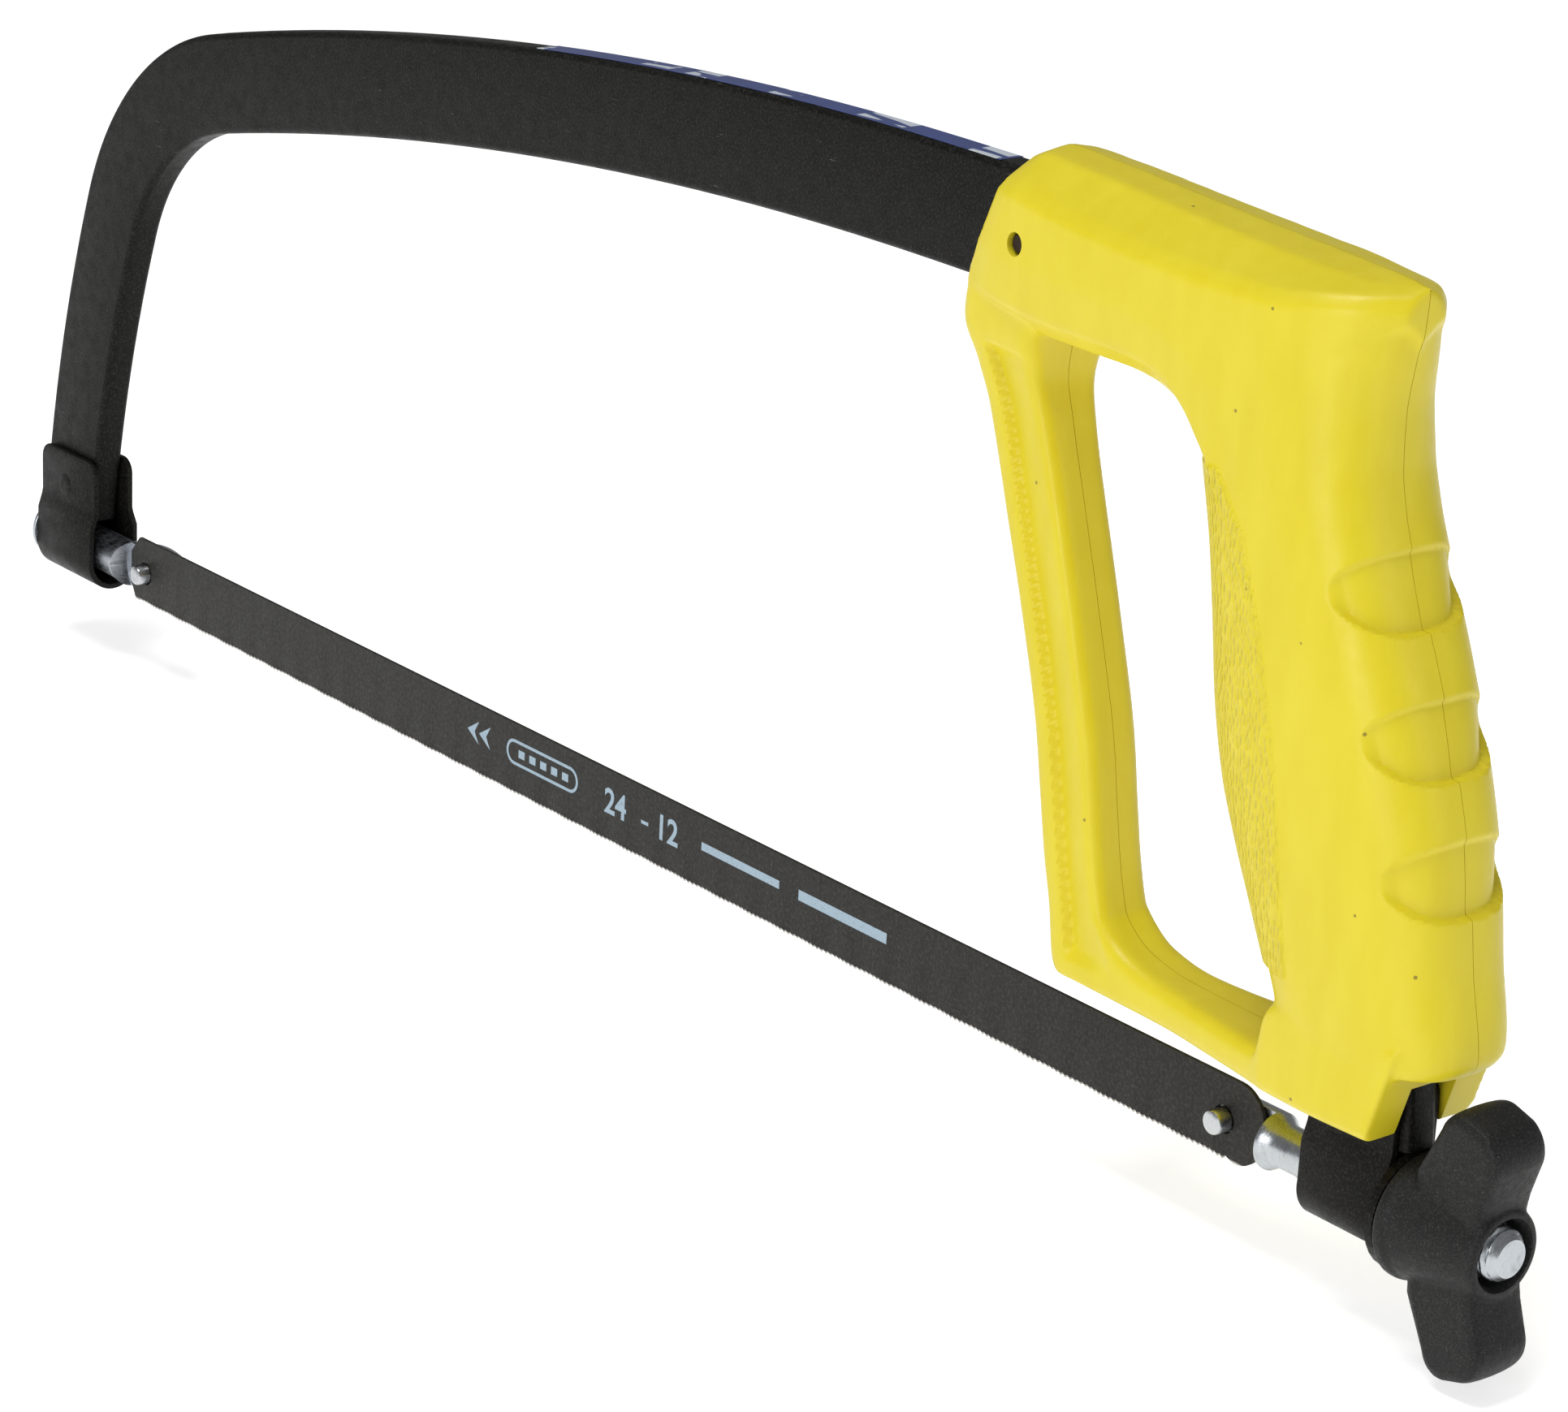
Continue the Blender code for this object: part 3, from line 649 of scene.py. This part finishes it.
def front_stud():
    """Domed head, round shank and a milled tab that swells behind the blade."""
    head = FRONT_SADDLE[0] - GAP
    dome = [(head - 3.2 + 2.0 * (1 - math.cos(a)), 5.4 * math.sin(a) + 0.02)
            for a in [math.radians(10 * i) for i in range(10)]]
    profile = dome + [(head - 0.9, HEAD_RADIUS - 0.15), (head - 0.2, HEAD_RADIUS),
                      (head, HEAD_RADIUS - 0.15), (head + 0.01, SHANK_RADIUS),
                      (-9.4, SHANK_RADIUS), (-7.2, TAB_HALF), (-4.2, TAB_HALF), (-2.6, 4.9), (-1.0, 5.5),
                      (0.4, 5.85), (2.0, 5.95), (4.0, 5.8), (5.6, 5.4), (7.0, 4.7), (8.0, 3.8),
                      (8.6, 2.9), (STUD_END, 1.9)]
    obj = make("front_stud_skin", turned(profile))
    cut(obj, peg(RUNOUT_X, 0.0, [(-20.0, RUNOUT_RADIUS), (FLAT_Y, RUNOUT_RADIUS)], 64))
    cut(obj, box((RUNOUT_X, -12, -12), (12, FLAT_Y, 12)))
    return rounded(obj, 0.18, 2, 40.0)


def tension_bolt():
    """Milled tab, waist, shank in the rear saddle and a cut thread under the wing nut."""
    end = HOLE_SPACING
    profile = [(end - 7.4, 2.0), (end - 6.8, 3.1), (end - 5.6, 4.0), (end - 4.6, TAB_HALF),
               (end + 9.9, TAB_HALF), (end + 10.5, 4.0), (end + 11.4, 3.45), (end + 12.4, 3.3),
               (end + 15.6, 3.3), (end + 16.8, 3.5), (end + 18.0, SHANK_RADIUS),
               (REAR_SADDLE[1] - 0.8, SHANK_RADIUS), (REAR_SADDLE[1] + 0.2, THREAD_RADIUS - THREAD_DEPTH)]
    segments = 64
    start = REAR_SADDLE[1] + 0.4
    steps = int((BOLT_END - start) / (THREAD_PITCH / 10))
    angles = [2 * math.pi * i / segments for i in range(segments)]
    rings = [[(x, r * math.cos(a), r * math.sin(a)) for a in angles] for x, r in profile]
    for k in range(steps + 1):
        x = start + (BOLT_END - start) * k / steps
        chamfer = THREAD_RADIUS - max(0.0, x - (BOLT_END - 1.3)) * 0.85
        ring = []
        for a in angles:
            phase = ((x / THREAD_PITCH - a / (2 * math.pi)) % 1.0)
            crest = THREAD_RADIUS - THREAD_DEPTH * (1 - min(1.0, 2.4 * min(phase, 1 - phase)))
            r = min(crest, chamfer)
            ring.append((x, r * math.cos(a), r * math.sin(a)))
        rings.append(ring)
    obj = make("tension_bolt_skin", loft(rings))
    cut(obj, box((end - 12, -12, -12), (end + 9.4, FLAT_Y, 12)))
    return obj


def blade_pin(name, x):
    """Dog pin with a softly domed, slightly mushroomed end."""
    y0, y1 = PIN_Y
    stations = [(y0, PIN_RADIUS * 0.35), (y0 + 0.06, PIN_RADIUS * 0.7), (y0 + 0.24, PIN_RADIUS * 0.92),
                (y0 + 0.55, PIN_RADIUS), (y1, PIN_RADIUS)]
    return make(name, peg(x, 0.0, stations))


finish_piece(front_stud(), MILLED, "front_stud", "front_stud")
finish_piece(tension_bolt(), ZINC, "tension", "tension_bolt")
finish_piece(blade_pin("front_blade_pin_skin", 0.0), PIN_STEEL, "front_stud", "front_blade_pin")
finish_piece(blade_pin("rear_blade_pin_skin", HOLE_SPACING), PIN_STEEL, "tension", "rear_blade_pin")


# ---------------------------------------------------------------- blade

BLADE_ROUND = 5.5                # radius of the rear end's corners
PRINT_LIFT = 0.02                # how far the ink stands proud
PRINT_GAP = 0.002                # how far its back lies in front of the steel


def blade_top(x):
    """Height of the back edge at x, with the front corner clipped and the rear one round."""
    if x < BLADE_LOW.x + 3.0:
        return BLADE_HIGH.z - 3.4 * (1 - (x - BLADE_LOW.x) / 3.0)
    bend = x - (BLADE_HIGH.x - BLADE_ROUND)
    if bend > 0:
        return BLADE_HIGH.z - BLADE_ROUND + math.sqrt(max(0.0, BLADE_ROUND ** 2 - bend ** 2))
    return BLADE_HIGH.z


def blade_bottom(x):
    """Height of the tooth line at x."""
    if x < BLADE_LOW.x + 1.6:
        return BLADE_LOW.z + 3.0 * (1 - (x - BLADE_LOW.x) / 1.6)
    bend = x - (BLADE_HIGH.x - BLADE_ROUND)
    if bend > 0:
        return BLADE_LOW.z + BLADE_ROUND - math.sqrt(max(0.0, BLADE_ROUND ** 2 - bend ** 2))
    return BLADE_LOW.z


def blade():
    """Strip with fine teeth that point forward and weave from side to side."""
    first = BLADE_LOW.x + 3.0
    last = BLADE_HIGH.x - BLADE_ROUND - 1.0
    columns = [(BLADE_LOW.x, 0.0, 0.0), (BLADE_LOW.x + 1.6, 0.0, 0.0)]
    teeth = int((last - first) / TOOTH_PITCH)
    for i in range(teeth):
        x = first + i * TOOTH_PITCH
        lean = TOOTH_SET * math.sin(2 * math.pi * i / TOOTH_WAVE)
        columns.append((x, 0.0, lean))
        columns.append((x + 0.16, TOOTH_DEPTH, 0.3 * lean))
        columns.append((x + 0.34, TOOTH_DEPTH, 0.3 * lean))
    bend = 10
    for k in range(bend + 1):
        angle = math.radians(90 * k / bend)
        columns.append((BLADE_HIGH.x - BLADE_ROUND + BLADE_ROUND * math.sin(angle), 0.0, 0.0))
    y0, y1 = BLADE_LOW.y, BLADE_HIGH.y
    bm = bmesh.new()
    rows = []
    for x, rise, lean in columns:
        top, low = blade_top(x), blade_bottom(x)
        root = min(low + 1.4, (top + low) / 2)
        heights = [(low + rise, lean), (root, 0.0), (top, 0.0)]
        near = [bm.verts.new((x, y0 + shift, z)) for z, shift in heights]
        far = [bm.verts.new((x, y1 + shift, z)) for z, shift in reversed(heights)]
        rows.append(near + far)
    for a, b in zip(rows, rows[1:]):
        for i in range(len(a)):
            j = (i + 1) % len(a)
            bm.faces.new((a[i], a[j], b[j], b[i]))
    bm.faces.new(rows[0])
    bm.faces.new(rows[-1])
    obj = make("blade_skin", bm, 25.0)
    for x in (0.0, HOLE_SPACING):
        cut(obj, peg(x, 0.0, [(-5, BLADE_HOLE), (5, BLADE_HOLE)]), 25.0)
    return obj


def flat_print(name, outlines):
    """Thin ink shapes on the near face of the blade."""
    y = BLADE_LOW.y
    bm = bmesh.new()
    for outline in outlines:
        near = [bm.verts.new((x, y - PRINT_LIFT, z)) for x, z in outline]
        far = [bm.verts.new((x, y - PRINT_GAP, z)) for x, z in outline]
        bm.faces.new(near)
        bm.faces.new(list(reversed(far)))
        for i in range(len(near)):
            j = (i + 1) % len(near)
            bm.faces.new((near[i], near[j], far[j], far[i]))
    return make(name, bm)


def chevron(x, z, half, slant):
    """A solid arrowhead pointing forward."""
    return [(x, z), (x + slant, z + half), (x + slant * 0.62, z), (x + slant, z - half)]


def bar(x0, x1, z0, z1):
    return [(x0, z0), (x1, z0), (x1, z1), (x0, z1)]


def capsule_ring(x0, x1, z0, z1, line):
    """Outline of a capsule as short quads."""
    radius = (z1 - z0) / 2
    middle = (z0 + z1) / 2
    rings = []
    for r in (radius, radius - line):
        ring = arc(x1 - radius, middle, r, -90, 90, 10) + arc(x0 + radius, middle, r, 90, 270, 10)
        rings.append(ring)
    count = len(rings[0])
    return [[rings[0][i], rings[0][(i + 1) % count], rings[1][(i + 1) % count], rings[1][i]]
            for i in range(count)]


def digits(name, text, x, z, size):
    """Plain digits on the near face of the blade."""
    curve = bpy.data.curves.new(name, "FONT")
    curve.body = text
    curve.size = size
    curve.offset = 0.12
    curve.extrude = PRINT_LIFT / 2
    source = bpy.data.objects.new(name, curve)
    bpy.context.scene.collection.objects.link(source)
    bpy.context.view_layer.update()
    graph = bpy.context.evaluated_depsgraph_get()
    mesh = bpy.data.meshes.new_from_object(source.evaluated_get(graph))
    bpy.data.objects.remove(source)
    turn = Matrix.Translation((x, BLADE_LOW.y - PRINT_LIFT / 2, z)) @ Matrix.Rotation(math.pi / 2, 4, "X")
    mesh.transform(turn)
    obj = bpy.data.objects.new(name, mesh)
    bpy.context.scene.collection.objects.link(obj)
    return obj


finish_piece(blade(), BLADE_STEEL, "blade", "blade")
shapes = [chevron(109.2, 1.7, 2.1, 3.4), chevron(112.7, 1.7, 2.1, 3.4)]
shapes += capsule_ring(121.0, 142.0, -0.7, 3.9, 0.55)
shapes += [bar(124.6 + 3.2 * i, 126.4 + 3.2 * i, 0.9, 2.3) for i in range(5)]
shapes += [bar(176.5, 197.0, 0.9, 2.3), bar(202.0, 224.0, 0.7, 2.5)]
shapes += [bar(160.0, 162.0, 0.3, 0.9)]
finish_piece(flat_print("blade_print", shapes), INK, "blade")
finish_piece(digits("blade_digits_teeth", "24", 149.6, -0.8, 6.2), INK, "blade")
finish_piece(digits("blade_digits_length", "12", 164.0, -0.8, 6.2), INK, "blade")


# ---------------------------------------------------------------- wing nut

WING_TILT = math.radians(-1)     # turn of the paddles about the bolt
WING_ROUND = 1.7                 # how far the paddles' rims are rounded over
HUB_FLANGE = 9.4                 # radius of the flange
HUB_END = 353.6
WING_HALF = 5.3                  # half thickness of the paddles


def wing(side):
    """One rounded paddle of the wing nut."""
    points = [(340.4, 2.0), (340.4, 9.2)]
    points += arc(348.0, 16.4, 3.7, 165, 80, 10)
    points += arc(350.0, 14.3, 5.2, 62, -10, 10)
    points += [(353.4, 7.6), (352.2, 2.0)]
    slices = []
    for k in range(9):
        t = math.radians(-90 + 180 * k / 8)
        inset = WING_ROUND * (1 - max(0.0, math.cos(t)) ** 0.4)
        slices.append((WING_HALF * math.sin(t), inset))
    middle = (347.0, 10.0)
    rings = []
    for y, inset in slices:
        ring = []
        for x, z in points:
            away = Vector((x - middle[0], z - middle[1]))
            away -= away.normalized() * inset
            ring.append((middle[0] + away.x, y, side * (middle[1] + away.y)))
        rings.append(ring)
    bm = loft(rings)
    bmesh.ops.rotate(bm, verts=bm.verts, matrix=Matrix.Rotation(-WING_TILT, 3, "X"))
    return bm


def wing_nut():
    """Conical hub with a flange, two paddles and a countersunk recess for the bolt's end."""
    x0, x1 = HUB_START, HUB_END
    profile = [(x0, HUB_FLANGE - 0.5), (x0 + 0.5, HUB_FLANGE), (x0 + 1.8, HUB_FLANGE),
               (x0 + 2.6, 8.9), (x0 + 5.5, 8.3), (x1 - 5.0, 7.4), (x1 - 1.6, 6.9), (x1 - 0.5, 6.7), (x1, 6.2)]
    obj = merged("wing_nut_skin", [turned(profile), wing(1), wing(-1)], NUT_VOXEL, NUT_PASSES)
    cut(obj, turned([(INSERT_START, 5.0), (x1 - 0.8, 5.0), (x1 + 0.6, 5.8)], 64))
    cut(obj, turned([(x0 - 2, THREAD_RADIUS + GAP), (x1 + 2, THREAD_RADIUS + GAP)], 48))
    return obj


finish_piece(wing_nut(), NUT_BLACK, "wing_nut", "wing_nut")


# ---------------------------------------------------------------- handle

# x at the ridge, crest height, half width, ridge height, underside, lean of the section
TOP_BAR = (
    (243.9, 131.8, 9.2, 127.6, 108.0, 0.4),
    (249.0, 133.0, 10.6, 127.6, 107.0, 0.25),
    (262.0, 132.4, 11.8, 126.4, 106.0, 0.0),
    (276.0, 131.3, 12.4, 125.2, 106.0, 0.0),
    (282.0, 130.8, 12.7, 124.8, 105.5, 0.0),
    (287.0, 130.4, 12.9, 124.6, 104.0, 0.0),
    (291.0, 130.1, 13.0, 124.5, 101.4, 0.0),
    (294.0, 129.9, 13.0, 124.4, 98.0, 0.0),
    (298.0, 129.6, 13.0, 124.4, 94.0, 0.0),
    (306.0, 129.1, 12.9, 124.4, 94.0, 0.0),
    (312.0, 128.6, 11.4, 125.0, 106.0, 0.0),
    (317.8, 128.1, 8.4, 125.4, 115.0, 0.06),
    (322.6, 127.4, 3.4, 125.6, 119.0, 0.06),
)
# z, front x, back x, half width, squareness of the oval
GRIP = (
    (22.6, 312.9, 343.6, 11.0, 2.9), (25.0, 312.2, 345.2, 11.4, 2.9), (37.0, 307.2, 342.8, 12.3, 2.9),
    (46.6, 302.8, 341.2, 12.8, 2.9), (55.0, 299.4, 339.2, 13.0, 2.9), (66.0, 296.8, 335.6, 13.1, 2.9),
    (78.0, 295.2, 330.6, 13.1, 2.9), (89.0, 293.4, 325.5, 13.0, 2.9), (96.5, 291.4, 322.6, 13.0, 2.8),
    (103.0, 289.4, 321.2, 13.0, 2.6), (110.0, 288.0, 320.9, 12.8, 2.35), (117.6, 286.0, 321.8, 12.4, 2.2),
    (122.3, 285.0, 322.3, 12.0, 2.1),
)
# z, front x, rear x, half width
GUARD = (
    (11.8, 265.6, 282.0, 5.2), (13.5, 264.8, 281.0, 5.6), (22.0, 263.2, 276.0, 5.6),
    (29.0, 261.4, 273.8, 5.6), (38.0, 259.6, 272.0, 5.6), (48.0, 257.6, 270.2, 5.6),
    (65.0, 252.6, 265.4, 5.6), (81.0, 247.2, 260.4, 5.6), (93.0, 243.4, 256.6, 5.9),
    (100.0, 241.2, 254.8, 7.0), (106.0, 239.8, 255.6, 8.8), (112.0, 241.0, 260.0, 9.4),
    (117.3, 243.4, 262.0, 9.3),
)
# x, underside, top, half width, lean of the section
BOTTOM_BAR = (
    (268.5, 11.6, 36.0, 5.2, 0.0), (271.4, 11.4, 29.5, 5.4, 0.0), (275.0, 11.3, 23.6, 5.5, 0.0),
    (281.0, 11.2, 19.2, 5.7, 0.0), (289.0, 11.2, 17.6, 6.0, 0.0), (302.0, 11.3, 17.2, 7.8, 0.0),
    (312.6, 11.5, 17.4, 9.8, 0.0), (314.6, 11.6, 25.0, 10.4, 0.0), (326.0, 11.8, 28.0, 11.1, 0.0),
    (337.4, 12.0, 28.0, 11.0, 0.3),
)
RECESS_TIPS = (86.2, 67.5, 49.4)        # heights of the palm recesses' tips
RECESS_REACH = 6.4                      # how far they reach forward of the back
# z and x of the stippled pad's rear border on the side of the grip
PAD_BORDER = ((30.6, 319.4), (53.4, 316.6), (64.4, 314.2), (78.8, 310.1), (90.7, 305.5), (98.8, 299.1))
CHANNEL_START = 4.3                     # width of the flange in front of the guard's channel
CHANNEL_DEPTH = 1.5


def top_bar():
    """The box over the opening: a low roof, flat sides and a slightly round underside."""
    rings = []
    for x, crest, half, ridge, under, lean in refined(TOP_BAR, 0.9):
        side = [(0.0, crest), (half * 0.45, crest - 0.9), (half - 1.4, ridge + 0.6), (half, ridge - 1.2),
                (half + 0.2, (ridge + under) / 2), (half - 0.4, under + 4.0), (half - 3.5, under + 1.0)]
        ring = side + [(0.0, under)] + [(-y, z) for y, z in reversed(side[1:])]
        rings.append([(x + lean * (z - 119.0), y, z) for y, z in ring])
    return loft(rings)


def grip():
    """The hand grip: squarish ovals that lean forward and swell toward the palm."""
    rings = []
    for z, front, back, half, power in refined(GRIP, 1.0):
        ring = []
        for i in range(72):
            c = math.cos(2 * math.pi * i / 72)
            s = math.sin(2 * math.pi * i / 72)
            x = (back - front) / 2 * math.copysign(abs(c) ** (2 / power), c)
            y = half * math.copysign(abs(s) ** (2 / power), s)
            ring.append(((front + back) / 2 + x, y, z))
        rings.append(ring)
    return loft(rings)


def guard():
    """The slim knuckle guard in front of the opening."""
    rings = []
    for z, front, rear, half in refined(GUARD, 1.0):
        section = round_rect((rear - front) / 2, half, 2.6, 6)
        rings.append([((front + rear) / 2 + x, y, z) for x, y in section])
    return loft(rings)


def bottom_bar():
    """The bar above the blade, which swells into the foot of the grip."""
    rings = []
    for x, under, top, half, lean in refined(BOTTOM_BAR, 0.8):
        section = round_rect(half, (top - under) / 2, 2.2, 4)
        middle = (top + under) / 2
        rings.append([(x + lean * (middle + z - 18.0), y, middle + z) for y, z in section])
    return loft(rings)


def column(table, index, heights):
    """A column of a station table at given heights."""
    rows = np.array(table)
    return np.interp(heights, rows[:, 0], rows[:, index])


def carve_handle(obj):
    """Palm recesses, the raised stippled pad and the guard's channel."""
    co, normal = points_of(obj)
    x, y, z = co.T.copy()
    on_grip = x > 280.0
    back = column(GRIP, 2, z)
    front = column(GRIP, 1, z)
    near_back = np.clip((RECESS_REACH - (back - x)) / RECESS_REACH, 0.0, 1.0)
    depth = np.zeros(len(co))
    for tip in RECESS_TIPS:
        upper = tip + 6.0 * near_back ** 0.6
        lower = tip - 4.8 * near_back ** 0.6
        across = np.clip((upper - z) / np.maximum(upper - lower, 0.01), 0.0, 1.0)
        edges = smooth_step(0.0, 0.6, upper - z) * smooth_step(0.0, 0.8, z - lower)
        depth += (0.55 + 0.85 * across) * edges * smooth_step(0.0, 0.4, near_back)
    depth *= on_grip
    border = np.interp(z, *zip(*PAD_BORDER))
    in_height = smooth_step(30.4, 31.0, z) * smooth_step(99.0, 98.2, z)
    pad = in_height * smooth_step(0.0, 0.5, border - x) * (x > front - 3.0) * on_grip
    raised = pad * (0.22 + 0.55 * np.clip(-normal[:, 0], 0.0, 1.0))
    co -= normal * (depth - raised)[:, None]
    guard_front = column(GUARD, 1, z)
    guard_rear = column(GUARD, 2, z)
    wall = smooth_step(guard_front + CHANNEL_START, guard_front + CHANNEL_START + 0.9, x)
    span = guard_rear - 0.8 - guard_front - CHANNEL_START
    slope = np.clip((guard_rear - 0.8 - x) / span, 0.0, 1.0) ** 0.8
    ends = smooth_step(14.5, 17.5, z) * smooth_step(104.0, 101.5, z)
    on_side = smooth_step(0.4, 0.8, np.abs(normal[:, 1])) * (x < 282.0)
    co[:, 1] -= np.sign(y) * CHANNEL_DEPTH * wall * slope * ends * on_side
    obj.data.vertices.foreach_set("co", co.astype(np.float32).ravel())
    stipple = obj.data.attributes.new("stipple", "FLOAT", "POINT")
    stipple.data.foreach_set("value", pad.astype(np.float32))
    obj.data.update()


def handle_shells():
    """The whole handle as one skin, hollowed for the tube and split along the middle plane."""
    whole = merged("handle_whole", [top_bar(), grip(), guard(), bottom_bar()],
                   HANDLE_VOXEL, HANDLE_PASSES)
    carve_handle(whole)
    tube = loft(swept(tube_line(), round_rect(TUBE_WIDTH / 2 + 0.2, TUBE_HEIGHT / 2 + 0.2, 1.0, 2)))
    cut(whole, tube, 45.0)
    pocket = TUBE_WIDTH / 2 + GAP + SHEET + GAP
    cut(whole, box((REAR_SADDLE[0] - 0.6, -pocket, 2), (360, pocket, EAR_TOP + 1.2)), 45.0)
    cut(whole, peg(*HANDLE_PIN, [(-30, PIN_HOLE), (30, PIN_HOLE)]), 45.0)
    shells = []
    for name, low, high in (("handle_left_skin", -SEAM, 40), ("handle_right_skin", -40, SEAM)):
        shell = bpy.data.objects.new(name, whole.data.copy())
        bpy.context.scene.collection.objects.link(shell)
        cut(shell, box((200, low, -20), (400, high, 160)), 45.0)
        shells.append(shell)
    bpy.data.objects.remove(whole)
    return shells


left, right = handle_shells()
finish_piece(left, YELLOW, "frame", "handle_left")
finish_piece(right, YELLOW, "frame", "handle_right")

# CAD nodes whose shape stays
for node, paint in (("front_saddle_rivet", BLACK), ("rear_saddle_rivet", BLACK), ("thrust_washer", BLACK),
                    ("wing_nut_insert", ZINC), ("handle_pin", DULL_STEEL)):
    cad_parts[node].data.materials.clear()
    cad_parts[node].data.materials.append(paint)


# ---------------------------------------------------------------- studio

FLOOR_SIZE = 6.0                 # in metres, like FLOOR_DROP
FLOOR_DROP = 0.002               # gap between the floor and the saw's lowest point
CAMERA_AT = Vector((711.32, -425.20, 260.11))      # in millimetres from the origin
CAMERA_RIGHT = Vector((0.62122, 0.78207, 0.04955))
CAMERA_DOWN = Vector((0.28304, -0.16497, -0.94481))
CAMERA_LENS = 102.16


def floor():
    bm = bmesh.new()
    bmesh.ops.create_grid(bm, x_segments=2, y_segments=2, size=FLOOR_SIZE / 2)
    mesh = bpy.data.meshes.new("floor")
    bm.to_mesh(mesh)
    bm.free()
    obj = bpy.data.objects.new("floor", mesh)
    obj.location = (0.0, 0.0, cad_low.z - FLOOR_DROP)
    bpy.context.scene.collection.objects.link(obj)
    paint = Paint("floor_white", (0.9, 0.9, 0.9), 0.0, 0.8)
    paint.colour(paint.mix(paint.noise(0.004, 2.0), (0.88, 0.88, 0.885), (0.91, 0.91, 0.91)))
    paint.set(Emission_Color=(1.0, 1.0, 1.0, 1.0), Emission_Strength=0.62)
    mesh.materials.append(paint.material)


def soft_light(name, away, size, power, target):
    """A square area light at an offset from target, in metres."""
    data = bpy.data.lights.new(name, "AREA")
    data.size = size
    data.energy = power
    obj = bpy.data.objects.new(name, data)
    obj.location = target + Vector(away)
    obj.rotation_mode = "QUATERNION"
    obj.rotation_quaternion = (-Vector(away)).to_track_quat("-Z", "Y")
    bpy.context.scene.collection.objects.link(obj)


def camera():
    data = bpy.data.cameras.new("camera")
    data.lens = CAMERA_LENS
    data.sensor_width = 36.0
    data.clip_start = 0.01
    obj = bpy.data.objects.new("camera", data)
    back = CAMERA_RIGHT.cross(-CAMERA_DOWN)
    axes = Matrix((CAMERA_RIGHT, -CAMERA_DOWN, back)).transposed().to_4x4()
    obj.matrix_world = Matrix.Translation(ORIGIN + CAMERA_AT * MM) @ axes
    bpy.context.scene.collection.objects.link(obj)
    bpy.context.scene.camera = obj


floor()
camera()
middle = (cad_low + cad_high) / 2
soft_light("key", (0.10, -0.45, 1.40), 0.6, 13.0, middle)
soft_light("fill", (0.55, -1.2, 0.30), 0.6, 5.5, middle)
soft_light("rim", (1.2, 0.5, 0.4), 0.5, 1.5, middle)

bpy.context.scene.view_settings.view_transform = "Standard"
world = bpy.data.worlds.new("studio")
bpy.context.scene.world = world
world.use_nodes = True
world.node_tree.nodes["Background"].inputs["Color"].default_value = (1.0, 1.0, 1.0, 1.0)
world.node_tree.nodes["Background"].inputs["Strength"].default_value = 0.24
